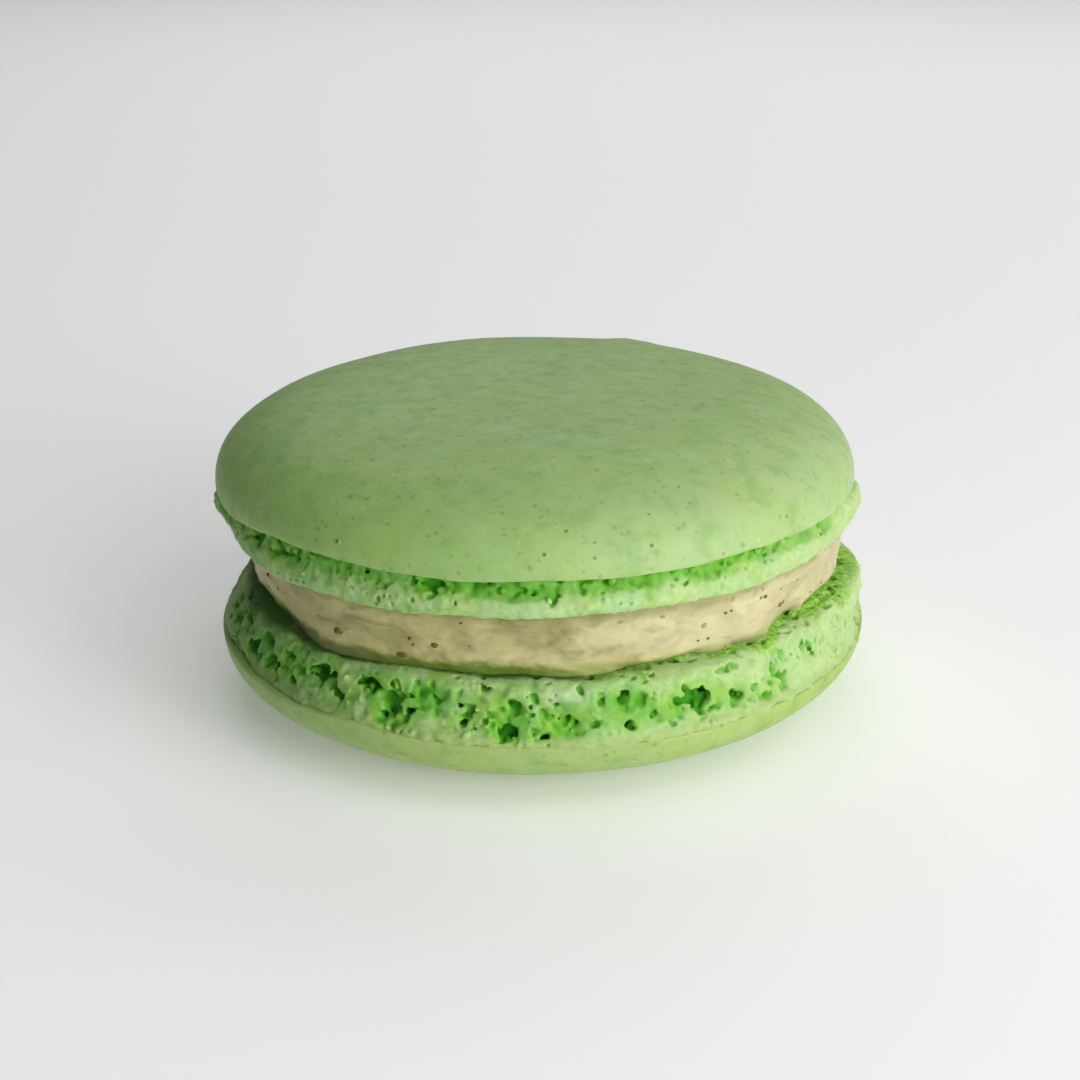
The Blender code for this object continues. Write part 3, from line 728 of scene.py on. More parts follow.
# ------------------------------------------------------------------ the cream
def cream(rng):
    around, rows = ((1200, 64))
    low, high = LOW["edge_z"] + LOW["foot"] - 0.40, UP["edge_z"] - UP["foot"] + 0.35
    th = np.arange(around) / around * TAU
    z = np.linspace(low, high, rows)
    TH, Z = np.meshgrid(th, z, indexing="ij")
    deg = np.degrees(TH)
    shift = (fil_low[:2] + fil_high[:2]) / 2
    mid = (low + high) / 2
    t = (Z - mid) / (high - low) * 2
    # where the cream meets the lower shell, and its widest line higher up
    contact = contact_radius(deg) - shift[0] * np.cos(TH)
    widest = np.maximum(20.88 + 0.16 * RingNoise(rng, 11, 9.0, low, high)(TH, 0 * Z + mid), contact - 0.02)
    span = around // 60
    widest = sum(np.roll(widest, k, axis=0) for k in range(-span, span + 1)) / (2 * span + 1)
    foot_rise = smoothstep(Z, low + 0.10, low + 1.15)
    R = contact + (widest - contact) * foot_rise ** 0.75 + 0.10 * (1 - t ** 2) - 0.16 * smoothstep(t, 0.35, 0.95)
    R += (0.15 * RingNoise(rng, 30, 1.5, low, high)(TH, Z) + 0.085 * RingNoise(rng, 70, 0.85, low, high)(TH, Z)) * (0.35 + 0.65 * foot_rise)
    R += 0.022 * RingNoise(rng, 190, 0.42, low, high)(TH, Z) + 0.010 * RingNoise(rng, 520, 0.20, low, high)(TH, Z)
    bend = 0.30 * RingNoise(rng, 60, 1.2, low, high)(TH, Z)

    def dab(degrees, height, w, tall, out, lean=0.0, crisp=0.75):
        """A flattish dab of cream: soft above, with a crisper lower edge."""
        d = ((TH - math.radians(degrees) + math.pi) % TAU - math.pi) * 20.8
        up = (Z - height - lean * d) / tall
        q = np.sqrt((d / w + 0.4 * bend) ** 2 + (up + 0.5 * bend) ** 2)
        edge = np.where(up < 0, crisp, 0.35)
        return out * (1 - smoothstep(q, edge, 1.0))

    for _ in range(130):
        R += dab(rng.uniform(0, 360), rng.uniform(low + 0.8, high - 0.5), rng.uniform(0.7, 2.6), rng.uniform(0.25, 0.8), rng.uniform(0.03, 0.11) * rng.choice((1, 1, -0.8)), rng.normal(0, 0.12), rng.uniform(0.5, 0.85))
    R += dab(273.3, 11.55, 1.15, 0.62, 0.10, 0.10, 0.60)
    R += dab(229.5, 10.75, 1.4, 0.30, 0.12, -0.05, 0.80)
    R += dab(236.5, 11.6, 1.7, 0.35, 0.10, -0.05, 0.70)
    R += dab(255.5, 10.1, 1.6, 0.60, 0.08, 0.02, 0.70)
    R += dab(317.0, 11.1, 1.9, 0.55, 0.12, 0.12, 0.75)
    R += dab(337.0, 12.1, 1.4, 0.60, 0.15, 0.10, 0.70)
    x = shift[0] + R * np.cos(TH)
    y = R * np.sin(TH)
    verts = np.stack([x, y, Z], -1).reshape(-1, 3)
    top, bot = len(verts), len(verts) + 1
    verts = np.vstack([verts, [[shift[0], 0, high], [shift[0], 0, low]]])
    a = (np.arange(around)[:, None] * rows + np.arange(rows - 1)[None, :]).ravel()
    b = (((np.arange(around) + 1) % around)[:, None] * rows + np.arange(rows - 1)[None, :]).ravel()
    quads = np.c_[a, b, b + 1, a + 1]
    i0 = np.arange(around) * rows
    i1 = ((np.arange(around) + 1) % around) * rows
    tris = np.vstack([np.c_[np.full(around, bot), i1, i0], np.c_[np.full(around, top), i0 + rows - 1, i1 + rows - 1]])
    obj = new_mesh("cream", verts, tris, quads)
    # how far in each spot lies behind the cream's own mean surface, and its height
    mean = np.pad(R, ((24, 24), (0, 0)), mode="wrap")
    c = np.cumsum(mean, axis=0)
    mean = (c[48:] - c[:-48]) / 48
    sunk = (mean[:around] - R).ravel()
    set_attribute(obj, "sunk", np.concatenate([sunk, [0, 0]]))
    set_attribute(obj, "level", np.concatenate([((Z - low) / (high - low)).ravel(), [1, 0]]))
    # the left side: there the painted shade bands are stronger, and the right is painted paler
    side = smoothstep(np.abs((deg - 225 + 180) % 360 - 180), 85, 45) * (1 + 0 * Z)
    set_attribute(obj, "left_shade_side", np.concatenate([side.ravel(), [0, 0]]))
    # the left front, where the bottom band of painted contact shade is darkest
    contact_shade_side = smoothstep(np.abs((deg - 222 + 180) % 360 - 180), 60, 40) * (1 + 0 * Z)
    set_attribute(obj, "contact_shade_side", np.concatenate([contact_shade_side.ravel(), [0, 0]]))
    # the left side, which gets a painted side tone and a browner painted contact shade
    set_attribute(obj, "shade", np.concatenate([(bump_at(TH, 212, 36) + 0 * Z).ravel(), [0, 0]]))
    return obj, (TH, Z, R, shift)


# ------------------------------------------------------------------ materials
def srgb(r, g, b):
    def one(c):
        c /= 255.0
        return c / 12.92 if c <= 0.04045 else ((c + 0.055) / 1.055) ** 2.4
    return (one(r), one(g), one(b), 1.0)


class Nodes:
    """Short hands for building a node material."""

    def __init__(self, name):
        self.mat = bpy.data.materials.new(name)
        self.mat.use_nodes = True
        self.tree = self.mat.node_tree
        self.bsdf = self.tree.nodes["Principled BSDF"]

    def node(self, kind, **values):
        n = self.tree.nodes.new(kind)
        for k, val in values.items():
            setattr(n, k, val)
        return n

    def link(self, a, b):
        self.tree.links.new(a, b)

    def coords(self):
        return self.node("ShaderNodeTexCoord").outputs["Object"]

    def noise(self, scale, detail=3.0, rough=0.55, vector=None, distortion=0.0):
        n = self.node("ShaderNodeTexNoise")
        n.inputs["Scale"].default_value = scale
        n.inputs["Detail"].default_value = detail
        n.inputs["Roughness"].default_value = rough
        n.inputs["Distortion"].default_value = distortion
        self.link(vector or self.coords(), n.inputs["Vector"])
        return n.outputs["Fac"]

    def voronoi(self, scale, vector=None, feature="F1", randomness=1.0):
        n = self.node("ShaderNodeTexVoronoi", feature=feature)
        n.inputs["Scale"].default_value = scale
        n.inputs["Randomness"].default_value = randomness
        self.link(vector or self.coords(), n.inputs["Vector"])
        return n

    def attribute(self, name):
        return self.node("ShaderNodeAttribute", attribute_name=name).outputs["Fac"]

    def maprange(self, value, a, b, c=0.0, d=1.0, smooth=True):
        n = self.node("ShaderNodeMapRange", interpolation_type="SMOOTHSTEP" if smooth else "LINEAR")
        for key, val in (("From Min", a), ("From Max", b), ("To Min", c), ("To Max", d)):
            n.inputs[key].default_value = val
        self.link(value, n.inputs["Value"])
        return n.outputs["Result"]

    def math(self, op, a, b=None):
        n = self.node("ShaderNodeMath", operation=op)
        for i, val in enumerate((a, b)):
            if val is None:
                continue
            if isinstance(val, (int, float)):
                n.inputs[i].default_value = val
            else:
                self.link(val, n.inputs[i])
        return n.outputs[0]

    def mix(self, fac, a, b, blend="MIX"):
        n = self.node("ShaderNodeMix", data_type="RGBA", blend_type=blend)
        if isinstance(fac, (int, float)):
            n.inputs["Factor"].default_value = fac
        else:
            self.link(fac, n.inputs["Factor"])
        for key, val in (("A", a), ("B", b)):
            sock = [s for s in n.inputs if s.name == key and s.type == "RGBA"][0]
            if isinstance(val, tuple):
                sock.default_value = val
            else:
                self.link(val, sock)
        return [s for s in n.outputs if s.type == "RGBA"][0]

    def bump(self, height, strength, distance_mm, normal=None):
        n = self.node("ShaderNodeBump")
        n.inputs["Strength"].default_value = strength
        n.inputs["Distance"].default_value = distance_mm * MM
        self.link(height, n.inputs["Height"])
        if normal is not None:
            self.link(normal, n.inputs["Normal"])
        return n.outputs["Normal"]

    def finish(self, color, normal=None, roughness=0.6, sss=0.0, radius=(1, 1, 1), scale_mm=1.0, specular=0.4):
        b = self.bsdf
        if isinstance(color, tuple):
            b.inputs["Base Color"].default_value = color
        else:
            self.link(color, b.inputs["Base Color"])
        if normal is not None:
            self.link(normal, b.inputs["Normal"])
        if isinstance(roughness, (int, float)):
            b.inputs["Roughness"].default_value = roughness
        else:
            self.link(roughness, b.inputs["Roughness"])
        b.inputs["Subsurface Weight"].default_value = sss
        b.inputs["Subsurface Radius"].default_value = radius
        b.inputs["Subsurface Scale"].default_value = scale_mm * MM
        b.inputs["Specular IOR Level"].default_value = specular
        return self.mat


def cap_material(name, skin, skin_pale, fleck, rim, cap_left_shade, seed):
    s = Nodes(name)
    co = s.coords()
    shifted = s.node("ShaderNodeMapping")
    s.link(co, shifted.inputs["Vector"])
    shifted.inputs["Location"].default_value = (seed * 0.013, seed * 0.007, 0)
    co = shifted.outputs["Vector"]
    broad = s.noise(110, 2.0, 0.5, co)
    cloud = s.noise(900, 4.0, 0.65, co)
    color = s.mix(s.maprange(broad, 0.3, 0.7), skin, skin_pale)
    # painted shade on the left side
    color = s.mix(s.math("MULTIPLY", s.attribute("cap_left_shade"), 0.65), color, cap_left_shade)
    # a painted highlight on the right front rim
    color = s.mix(s.math("MULTIPLY", s.attribute("cap_right_highlight"), 0.9), color, rim)
    drift = s.noise(240, 2.5, 0.55, co)
    color = s.mix(s.math("MULTIPLY", s.maprange(drift, 0.52, 0.66), 0.32), color, srgb(150, 180, 86))
    color = s.mix(s.math("MULTIPLY", s.maprange(drift, 0.47, 0.34), 0.34), color, srgb(138, 178, 114))
    mottle = s.noise(430, 3.0, 0.60, co)
    color = s.mix(s.math("MULTIPLY", s.maprange(mottle, 0.50, 0.68), 0.54), color, srgb(130, 168, 90))
    color = s.mix(s.math("MULTIPLY", s.maprange(mottle, 0.50, 0.32), 0.52), color, srgb(158, 187, 117))
    color = s.mix(s.math("MULTIPLY", s.maprange(cloud, 0.52, 0.74), 0.27), color, fleck)
    color = s.mix(s.math("MULTIPLY", s.maprange(cloud, 0.48, 0.30), 0.33), color, srgb(164, 192, 122))
    # short dark flecks of two sizes, pressed in by the bump: almond specks, and painted shade in tiny burst bubbles
    small = s.voronoi(1600, co)
    pick = s.noise(1300, 2.0, 0.5, co)
    dots = s.math("MULTIPLY", s.maprange(small.outputs["Distance"], 0.10, 0.38, 1.0, 0.0), s.maprange(pick, 0.53, 0.62))
    color = s.mix(s.math("MULTIPLY", dots, 0.44), color, fleck)
    large = s.voronoi(900, co)
    pick2 = s.noise(760, 2.0, 0.5, co)
    dots2 = s.math("MULTIPLY", s.maprange(large.outputs["Distance"], 0.06, 0.28, 1.0, 0.0), s.maprange(pick2, 0.56, 0.64))
    color = s.mix(s.math("MULTIPLY", dots2, 0.48), color, fleck)
    # and a few pale ones
    pale = s.math("MULTIPLY", s.maprange(large.outputs["Distance"], 0.08, 0.26, 1.0, 0.0), s.maprange(pick2, 0.42, 0.36))
    color = s.mix(s.math("MULTIPLY", pale, 0.35), color, srgb(188, 206, 150))
    # painted shade inside the pores pushed into the mesh
    pore = s.attribute("pore")
    color = s.mix(s.math("MULTIPLY", pore, 0.8), color, srgb(62, 84, 40))
    grain = s.noise(5000, 3.0, 0.6, co)
    height = s.math("SUBTRACT", s.math("MULTIPLY", grain, 0.35), s.math("MULTIPLY", dots, 0.5))
    height = s.math("SUBTRACT", height, s.math("MULTIPLY", dots2, 0.6))
    normal = s.bump(height, 0.3, 0.05)
    s.bsdf.inputs["Sheen Weight"].default_value = 0.03
    s.bsdf.inputs["Sheen Roughness"].default_value = 0.4
    return s.finish(color, normal, s.maprange(cloud, 0.3, 0.7, 0.50, 0.60), 0.12, (0.5, 1.0, 0.3), 1.2, 0.39)


def foot_material(name, crest, body, hollow, deep, skin, upper):
    s = Nodes(name)
    co = s.coords()
    tight, wide, depth, opened, rise, foot_left_shade, foot_right_light = (s.attribute(k) for k in ("tight", "wide", "depth", "opened", "rise", "foot_left_shade", "foot_right_light"))
    mott = s.noise(560, 4.0, 0.65, co)
    patch = s.noise(330, 2.5, 0.5, co)
    tint = s.noise(480, 2.0, 0.5, co)
    color = s.mix(s.maprange(mott, 0.38, 0.62), body, crest)
    # some of the crumb is yellower, some greyer
    color = s.mix(s.math("MULTIPLY", s.maprange(tint, 0.54, 0.68), 0.55), color, srgb(176, 196, 106))
    color = s.mix(s.math("MULTIPLY", s.maprange(tint, 0.44, 0.32), 0.50), color, srgb(150, 190, 134))
    # paler on the open clods: painted light
    color = s.mix(s.math("MULTIPLY", s.maprange(tight, 0.52, 0.34), 0.6), color, crest)
    # paler towards the right: painted light
    color = s.mix(s.math("MULTIPLY", foot_right_light, 0.55), color, srgb(180, 196, 138))
    grit = s.noise(3300, 2.5, 0.6, co)
    color = s.mix(s.math("MULTIPLY", s.maprange(grit, 0.52, 0.66), s.maprange(foot_right_light, 0.0, 1.0, 0.32, 0.18)), color, srgb(112, 164, 66))
    color = s.mix(s.math("MULTIPLY", s.maprange(grit, 0.47, 0.34), 0.22), color, srgb(192, 212, 154))
    if not upper:
        color = s.mix(s.math("MULTIPLY", s.attribute("paled"), 0.80), color, s.mix(s.maprange(tint, 0.40, 0.60), srgb(172, 198, 146), srgb(180, 202, 142)))
        color = s.mix(s.math("MULTIPLY", s.attribute("stained"), 0.85), color, s.mix(s.maprange(tint, 0.42, 0.58), srgb(92, 158, 56), srgb(126, 176, 56)))
    # between the clods: painted shade with a green glow; round the openings and in random patches the crumb shows
    # greener
    color = s.mix(s.math("MULTIPLY", s.maprange(tight, 0.53, 0.68), 0.55), color, hollow)
    near = s.math("MULTIPLY", s.maprange(opened, 0.02, 0.13), s.maprange(patch, 0.30, 0.60, 0.25, 0.80))
    near = s.math("MULTIPLY", near, s.maprange(foot_right_light, 0.0, 1.0, 1.0, 0.50))
    color = s.mix(near, color, s.mix(s.maprange(tint, 0.45, 0.60), hollow, srgb(122, 178, 52)))
    color = s.mix(s.math("MULTIPLY", s.maprange(patch, 0.55, 0.68), s.maprange(foot_right_light, 0.0, 1.0, 0.38, 0.12)), color, hollow)
    if upper:
        # greener just under the cap's edge: painted shade with a green glow
        line = s.math("ADD", rise, s.math("MULTIPLY", s.math("SUBTRACT", mott, 0.5), 0.6))
        band = s.math("MULTIPLY", s.maprange(line, 0.52, 0.32), s.maprange(patch, 0.30, 0.50, 0.35, 0.70))
        band = s.math("MULTIPLY", band, s.maprange(foot_right_light, 0.2, 1.0, 1.0, 0.65))
        color = s.mix(band, color, s.mix(foot_right_light, hollow, srgb(120, 180, 62)))
        color = s.mix(s.math("MULTIPLY", s.attribute("paled"), 0.75), color, s.mix(s.maprange(tint, 0.40, 0.60), srgb(166, 196, 146), srgb(178, 202, 140)))
        color = s.mix(s.math("MULTIPLY", s.attribute("stained"), 0.85), color, s.mix(s.maprange(tint, 0.42, 0.58), srgb(84, 156, 40), srgb(116, 174, 48)))
    # painted shade and a painted green glow in the hollows, darkest in the deep ones
    inward = s.math("MAXIMUM", s.maprange(depth, 0.06, 0.50), s.math("MULTIPLY", s.maprange(wide, 0.58, 0.80), 0.80))
    inward = s.math("MULTIPLY", inward, s.maprange(foot_right_light, 0.0, 1.0, 1.0, 0.75))
    color = s.mix(inward, color, s.mix(foot_right_light, hollow, srgb(112, 178, 50)))
    color = s.mix(s.maprange(depth, 0.38, 0.80), color, s.mix(foot_right_light, deep, srgb(70, 146, 20)))
    if not upper:
        line = s.math("ADD", rise, s.math("MULTIPLY", s.math("SUBTRACT", mott, 0.5), 0.20))
        edge = s.math("MULTIPLY", s.maprange(line, 0.14, 0.0), s.maprange(depth, 0.25, 0.05))
        color = s.mix(s.math("MULTIPLY", edge, 0.85), color, skin)
        # beside the cream: a painted shade, dark olive on the left, and a painted green glow elsewhere
        cream_edge_shade = s.math("MULTIPLY", s.attribute("cream_edge_shade"), s.maprange(mott, 0.30, 0.50, 0.65, 1.0))
        color = s.mix(cream_edge_shade, color, s.mix(s.attribute("left_shade_side"), s.mix(s.maprange(grit, 0.4, 0.6), srgb(148, 195, 80), srgb(104, 162, 40)), srgb(50, 82, 16)))
    # darker on the left side: painted shade
    color = s.mix(s.math("MULTIPLY", foot_left_shade, 0.52 if not upper else 0.40), color, srgb(62, 110, 40) if not upper else srgb(92, 150, 62))
    fine = s.noise(3000, 4.0, 0.7, co)
    normal = s.bump(fine, 0.16, 0.12)
    s.bsdf.inputs["Sheen Weight"].default_value = 0.04
    s.bsdf.inputs["Sheen Roughness"].default_value = 0.5
    return s.finish(color, normal, 0.62, 0.38, (0.45, 1.0, 0.3), 0.7, 0.24)


def cream_material():
    s = Nodes("cream_filling")
    co = s.coords()
    stretch = s.node("ShaderNodeMapping")
    s.link(co, stretch.inputs["Vector"])
    stretch.inputs["Scale"].default_value = (1.0, 1.0, 1.7)
    co = stretch.outputs["Vector"]
    sunk, level, left_shade_side, contact_shade_side, shade = (s.attribute(k) for k in ("sunk", "level", "left_shade_side", "contact_shade_side", "shade"))
    wide = s.noise(210, 3.0, 0.55, co, 0.5)
    color = s.mix(s.maprange(wide, 0.38, 0.62), srgb(160, 153, 103), srgb(190, 184, 137))
    patch = s.noise(400, 2.5, 0.5, co)
    color = s.mix(s.math("MULTIPLY", s.maprange(patch, 0.55, 0.70), 0.30), color, srgb(184, 178, 100))
    color = s.mix(s.math("MULTIPLY", s.maprange(patch, 0.46, 0.32), 0.5), color, srgb(186, 168, 126))
    grey = s.noise(290, 3.5, 0.55, co, 0.4)
    color = s.mix(s.math("MULTIPLY", s.maprange(grey, 0.52, 0.68), 0.55), color, srgb(130, 123, 74))
    # darker where sunk behind its own mean surface: painted shade
    color = s.mix(s.math("MULTIPLY", s.maprange(sunk, 0.02, 0.20), 0.50), color, srgb(134, 126, 74))
    # paler towards the right: painted light
    color = s.mix(s.maprange(left_shade_side, 0.0, 1.0, 0.34, 0.0), color, srgb(212, 202, 168))
    # a painted side tone on the left, for how the light falls there
    color = s.mix(s.math("MULTIPLY", shade, 0.40), color, srgb(182, 178, 112))
    # where it lies against the shells: an olive band of painted contact shade and green bounce light at the bottom,
    # darker and browner on the left, and at the top a painted shadow under the upper shell, partly a stain
    ragged = s.noise(800, 3.0, 0.6, co)
    line = s.math("ADD", level, s.math("MULTIPLY", s.math("SUBTRACT", grey, 0.5), 0.24))
    line = s.math("ADD", line, s.math("MULTIPLY", s.math("SUBTRACT", ragged, 0.5), 0.22))
    color = s.mix(s.math("MULTIPLY", s.maprange(line, 0.34, 0.16), s.maprange(left_shade_side, 0.0, 1.0, 0.20, 0.50)), color, srgb(166, 172, 84))
    color = s.mix(s.math("MULTIPLY", s.maprange(line, 0.24, 0.12), s.maprange(contact_shade_side, 0.0, 1.0, 0.10, 0.9)), color, s.mix(shade, srgb(98, 128, 34), srgb(84, 84, 34)))
    color = s.mix(s.math("MULTIPLY", s.maprange(line, 0.10, 0.04), 0.6), color, s.mix(shade, srgb(100, 136, 42), srgb(70, 78, 26)))
    color = s.mix(s.math("MULTIPLY", s.maprange(line, 0.74, 0.92), 0.60), color, srgb(126, 126, 70))
    fine = s.noise(1700, 4.0, 0.6, co)
    normal = s.bump(fine, 0.20, 0.07, s.bump(ragged, 0.28, 0.14))
    return s.finish(color, normal, 0.48, 0.25, (1.0, 0.8, 0.45), 0.8, 0.34)


def plain_material(name, color, other, scale, roughness):
    s = Nodes(name)
    fac = s.noise(scale, 3.0, 0.6)
    return s.finish(s.mix(fac, color, other), s.bump(fac, 0.3, 0.05), roughness, 0.1, (0.5, 0.8, 0.3), 0.5, 0.35)


def bits(name, items, seed):
    """One joined piece of small irregular grains. items: (degrees, z, width, height, how far they stand out) in mm."""
    rng = np.random.default_rng(seed)
    TH, Z, R, shift = cream_surface
    zs, verts, faces = Z[0], [], []
    ball = bmesh.new()
    bmesh.ops.create_icosphere(ball, subdivisions=3, radius=1.0)
    ball.verts.ensure_lookup_table()
    unit = np.array([v.co for v in ball.verts])
    tri = np.array([[v.index for v in f.verts] for f in ball.faces])
    ball.free()
    for degrees, z, w, tall, out in items:
        i = int(round(math.radians(degrees) / TAU * len(TH))) % len(TH)
        j = int(np.clip(np.searchsorted(zs, z), 1, len(zs) - 2))
        t = math.radians(degrees)
        c = np.array([shift[0] + R[i, j] * math.cos(t), R[i, j] * math.sin(t), z])
        radial, along, up = np.array([math.cos(t), math.sin(t), 0]), np.array([-math.sin(t), math.cos(t), 0]), np.array([0, 0, 1.0])
        d = rng.standard_normal((5, 3))
        lump = 1 + 0.16 * sum(np.sin(2.3 * unit @ k + 5 * k[0]) for k in d) / 2
        w, tall = 1.25 * w, 1.25 * tall
        deep = 0.45 * min(w, tall)
        out = max(out, 0.5 * deep)
        local = unit * lump[:, None] * np.array([deep, w / 2, tall / 2])
        lean = rng.normal(0, 0.2)
        a, b = local[:, 1] * math.cos(lean) - local[:, 2] * math.sin(lean), local[:, 1] * math.sin(lean) + local[:, 2] * math.cos(lean)
        p = c + (local[:, 0] - deep + out)[:, None] * radial + a[:, None] * along + b[:, None] * up
        faces.append(tri + sum(len(q) for q in verts))
        verts.append(p)
    return new_mesh(name, np.vstack(verts), np.vstack(faces), np.zeros((0, 4), int))


# ------------------------------------------------------------------ build
rng = np.random.default_rng(41)
up_foot = foot("foot_top", UP, UP_MATRIX, np.random.default_rng(7), UP_HOLLOWS, False)
low_foot = foot("foot_bottom", LOW, LOW_MATRIX, np.random.default_rng(11), LOW_HOLLOWS, True)


def pores_for(rng, count, R, rmin=0.0):
    out = []
    while len(out) < count:
        a, rr = rng.uniform(0, TAU), R * math.sqrt(rng.uniform((rmin / R) ** 2, 0.985))
        out.append((rr * math.cos(a), rr * math.sin(a), rng.uniform(0.07, 0.13), rng.uniform(0.04, 0.08)))
    return out


up_pores = pores_for(np.random.default_rng(3), 18, UP["cap_r"] - 0.4, 12.0)
up_pores += [(2.02, -21.13, 0.15, 0.10), (0.65, -22.11, 0.16, 0.10), (3.74, -21.48, 0.11, 0.07), (3.72, -21.95, 0.11, 0.07), (7.28, -20.87, 0.15, 0.09), (7.16, -19.42, 0.11, 0.07),
             (16.21, -15.21, 0.14, 0.09), (-12.37, -18.5, 0.20, 0.12), (14.0, -5.96, 0.10, 0.06), (14.5, -6.1, 0.10, 0.06)]
up_cap = cap("cap_top", UP, UP_MATRIX, np.random.default_rng(21), up_pores, False)
low_cap = cap("cap_bottom", LOW, LOW_MATRIX, np.random.default_rng(22), pores_for(np.random.default_rng(4), 16, LOW["cap_r"] - 0.4, 12.0), True)
cream_obj, cream_surface = cream(np.random.default_rng(31))

dark = [(230.3, 10.45, 0.56, 0.44, 0.04), (243.6, 9.70, 0.66, 0.42, 0.04), (249.9, 10.70, 0.46, 0.34, 0.04), (245.4, 11.0, 0.30, 0.20, 0.03), (245.9, 10.55, 0.2, 0.2, 0.03),
        (303.0, 11.85, 0.30, 0.22, 0.04), (304.3, 11.88, 0.22, 0.18, 0.03), (318.0, 10.78, 0.30, 0.24, 0.07), (320.2, 10.62, 0.26, 0.24, 0.07), (313.4, 11.90, 0.26, 0.20, 0.05),
        (312.1, 11.97, 0.22, 0.18, 0.04), (254.8, 12.35, 0.18, 0.14, 0.03), (205.5, 11.4, 0.26, 0.22, 0.04), (210.0, 11.0, 0.20, 0.2, 0.04), (318.2, 11.9, 0.14, 0.14, 0.03), (299.5, 10.4, 0.22, 0.16, 0.03), (297.6, 10.36, 0.16, 0.12, 0.03)]
scatter = np.random.default_rng(51)
for _ in range(34):
    dark.append((scatter.uniform(-10, 200), scatter.uniform(9.7, 12.4), scatter.uniform(0.14, 0.42), scatter.uniform(0.12, 0.32), 0.04))
for _ in range(9):
    dark.append((scatter.uniform(205, 340), scatter.uniform(9.9, 12.4), scatter.uniform(0.10, 0.16), scatter.uniform(0.08, 0.14), 0.03))
specks = bits("specks", dark, 52)
green = [(298.5, 11.38, 0.42, 0.34, 0.06), (304.7, 12.65, 0.34, 0.30, 0.06), (312.8, 12.45, 0.34, 0.30, 0.06), (304.5, 9.35, 0.40, 0.30, 0.05), (290.3, 12.6, 0.3, 0.2, 0.05), (283.0, 12.5, 0.5, 0.2, 0.04), (262.0, 12.4, 0.3, 0.2, 0.05)]
for _ in range(18):
    green.append((scatter.uniform(-10, 200), scatter.uniform(9.7, 12.6), scatter.uniform(0.2, 0.45), scatter.uniform(0.16, 0.34), 0.05))
crumbs = bits("crumbs", green, 53)
specks.data.materials.append(plain_material("specks_dark", srgb(114, 104, 48), srgb(76, 68, 24), 2600, 0.6))
crumbs.data.materials.append(plain_material("crumbs_green", srgb(166, 162, 88), srgb(138, 142, 66), 1800, 0.6))
# colours: skin, paler skin, flecks, the painted highlight on the right rim, the painted shade on the left
up_cap.data.materials.append(cap_material("cap_skin_top", srgb(144, 179, 103), srgb(149, 182, 105), srgb(93, 122, 61), srgb(163, 186, 128), srgb(137, 177, 97), 0))
low_cap.data.materials.append(cap_material("cap_skin_bottom", srgb(156, 181, 103), srgb(162, 184, 105), srgb(93, 122, 61), srgb(152, 178, 84), srgb(142, 178, 101), 5))
# crumb colours: crest, body, then hollow and deep (the painted shade and green glow of the hollows), and skin by the
# lip
crest, body, hollow, deep, skin = srgb(168, 196, 130), srgb(142, 183, 99), srgb(90, 166, 36), srgb(54, 144, 8), srgb(160, 182, 112)
up_foot.data.materials.append(foot_material("foot_crumb_top", crest, body, hollow, deep, skin, True))
low_foot.data.materials.append(foot_material("foot_crumb_bottom", crest, body, hollow, deep, skin, False))
cream_obj.data.materials.append(cream_material())

for piece, node, slot in ((up_cap, "shell_top", "shell_top"), (up_foot, "shell_top", "shell_top"), (cream_obj, "filling", "filling"),
                          (specks, "filling", "filling"), (crumbs, "filling", "filling"),
                          (low_foot, "shell_bottom", "shell_bottom"), (low_cap, "shell_bottom", "shell_bottom")):
    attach(piece, "root")
    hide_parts(node)

# ------------------------------------------------------------------ floor, light, camera
floor_mesh = bpy.data.meshes.new("floor")
s = 1.5
low = -0.00001     # a hair below the flat spot the macaron stands on
floor_mesh.from_pydata([(-s, -s, low), (s, -s, low), (s, s, low), (-s, s, low)], [], [(0, 1, 2, 3)])
floor = bpy.data.objects.new("floor", floor_mesh)
bpy.context.scene.collection.objects.link(floor)
fm = bpy.data.materials.new("pale_floor")
fm.use_nodes = True
fm.node_tree.nodes["Principled BSDF"].inputs["Base Color"].default_value = (0.90, 0.90, 0.90, 1)
fm.node_tree.nodes["Principled BSDF"].inputs["Roughness"].default_value = 0.9
fm.node_tree.nodes["Principled BSDF"].inputs["Emission Color"].default_value = (1, 1, 1, 1)
fm.node_tree.nodes["Principled BSDF"].inputs["Emission Strength"].default_value = 0.17
floor_mesh.materials.append(fm)

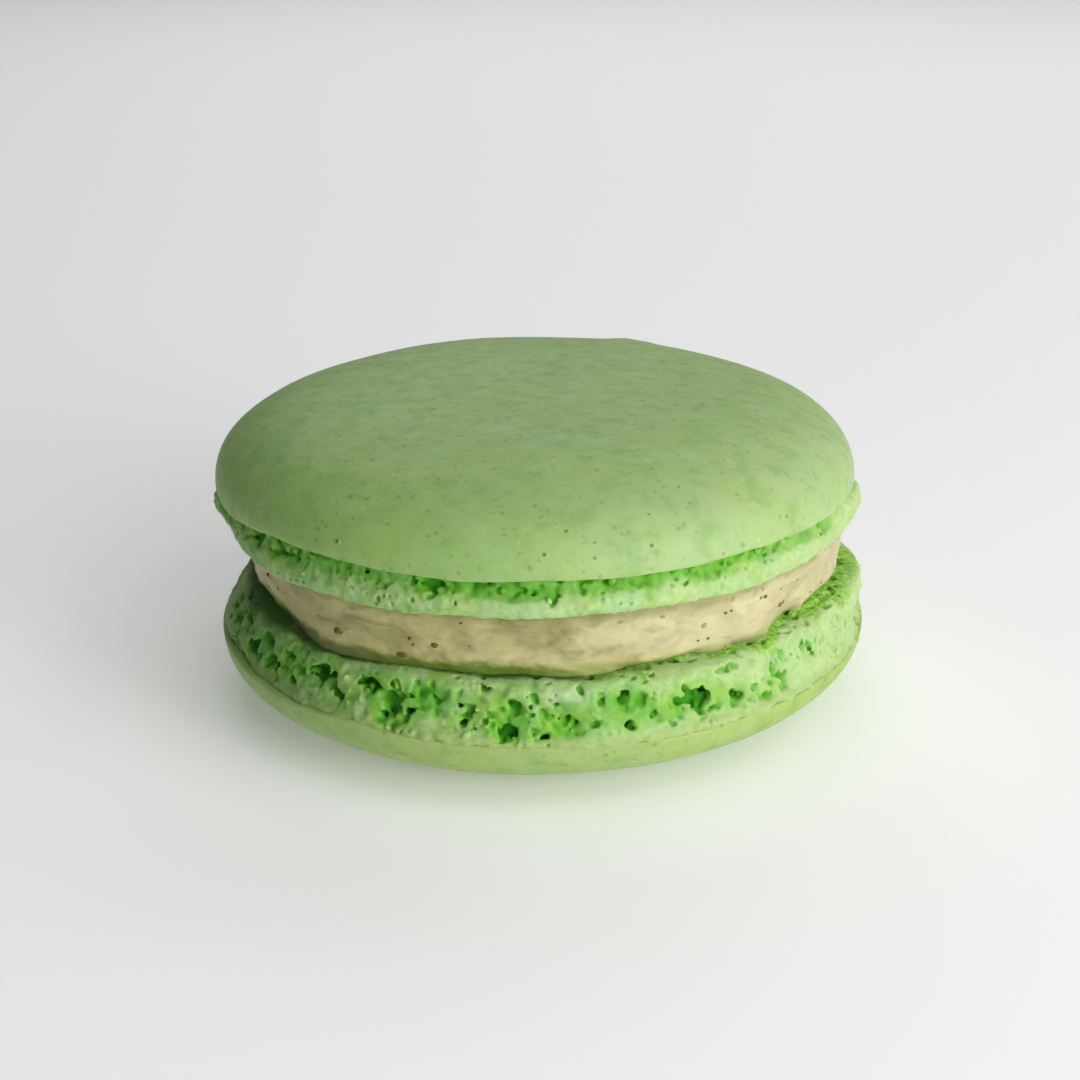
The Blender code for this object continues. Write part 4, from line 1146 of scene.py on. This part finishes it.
world = bpy.data.worlds.new("studio")
bpy.context.scene.world = world
world.use_nodes = True
world.node_tree.nodes["Background"].inputs["Color"].default_value = (1, 1, 1, 1)
world.node_tree.nodes["Background"].inputs["Strength"].default_value = 0.112


def area(name, azimuth, elevation, distance, size, power, aim=(0, 0, 0.011), color=(1, 1, 1)):
    """A soft square light. Azimuth 0 is the front (-Y), 90 the right (+X)."""
    az, el = math.radians(azimuth), math.radians(elevation)
    d = Vector((math.sin(az) * math.cos(el), -math.cos(az) * math.cos(el), math.sin(el)))
    data = bpy.data.lights.new(name, "AREA")
    data.size, data.energy, data.color = size, power, color
    obj = bpy.data.objects.new(name, data)
    obj.location = Vector(aim) + d * distance
    obj.rotation_euler = (-d).to_track_quat("-Z", "Y").to_euler()
    bpy.context.scene.collection.objects.link(obj)
    return obj


BRIGHT = 1.165
for name, azimuth, elevation, distance, size, power in (
        ("key_low", 30, 16, 0.42, 0.26, 0.738), ("key_side", 50, 8, 0.42, 0.20, 0.642), ("key_high", 58, 40, 0.42, 0.26, 0.307),
        ("top", 20, 75, 0.45, 0.40, 0.312), ("back", 180, 35, 0.42, 0.30, 0.288), ("back_right", 130, 30, 0.42, 0.26, 0.169)):
    area(name, azimuth, elevation, distance, size, power * BRIGHT)

cam_data = bpy.data.cameras.new("camera")
cam_data.sensor_width = 36.0
cam_data.lens = 36.0 * 2200 / 1080
cam_data.shift_x = -1.534 / 1080
cam_data.shift_y = 9.808 / 1080
cam_data.clip_start = 0.01
cam = bpy.data.objects.new("camera", cam_data)
el = math.radians(21.457)
forward = Vector((0, math.cos(el), -math.sin(el)))
right = Vector((1, 0, 0))
up = right.cross(forward)
rot = Matrix((right, up, -forward)).transposed().to_4x4()
cam.matrix_world = (Matrix.Translation(Vector((0, 0, 9.437 * MM)) - forward * 158.6 * MM) @ rot
                    @ Matrix.Rotation(math.radians(-0.773), 4, "Z"))
bpy.context.scene.collection.objects.link(cam)
bpy.context.scene.camera = cam
bpy.context.scene.view_settings.view_transform = "Standard"
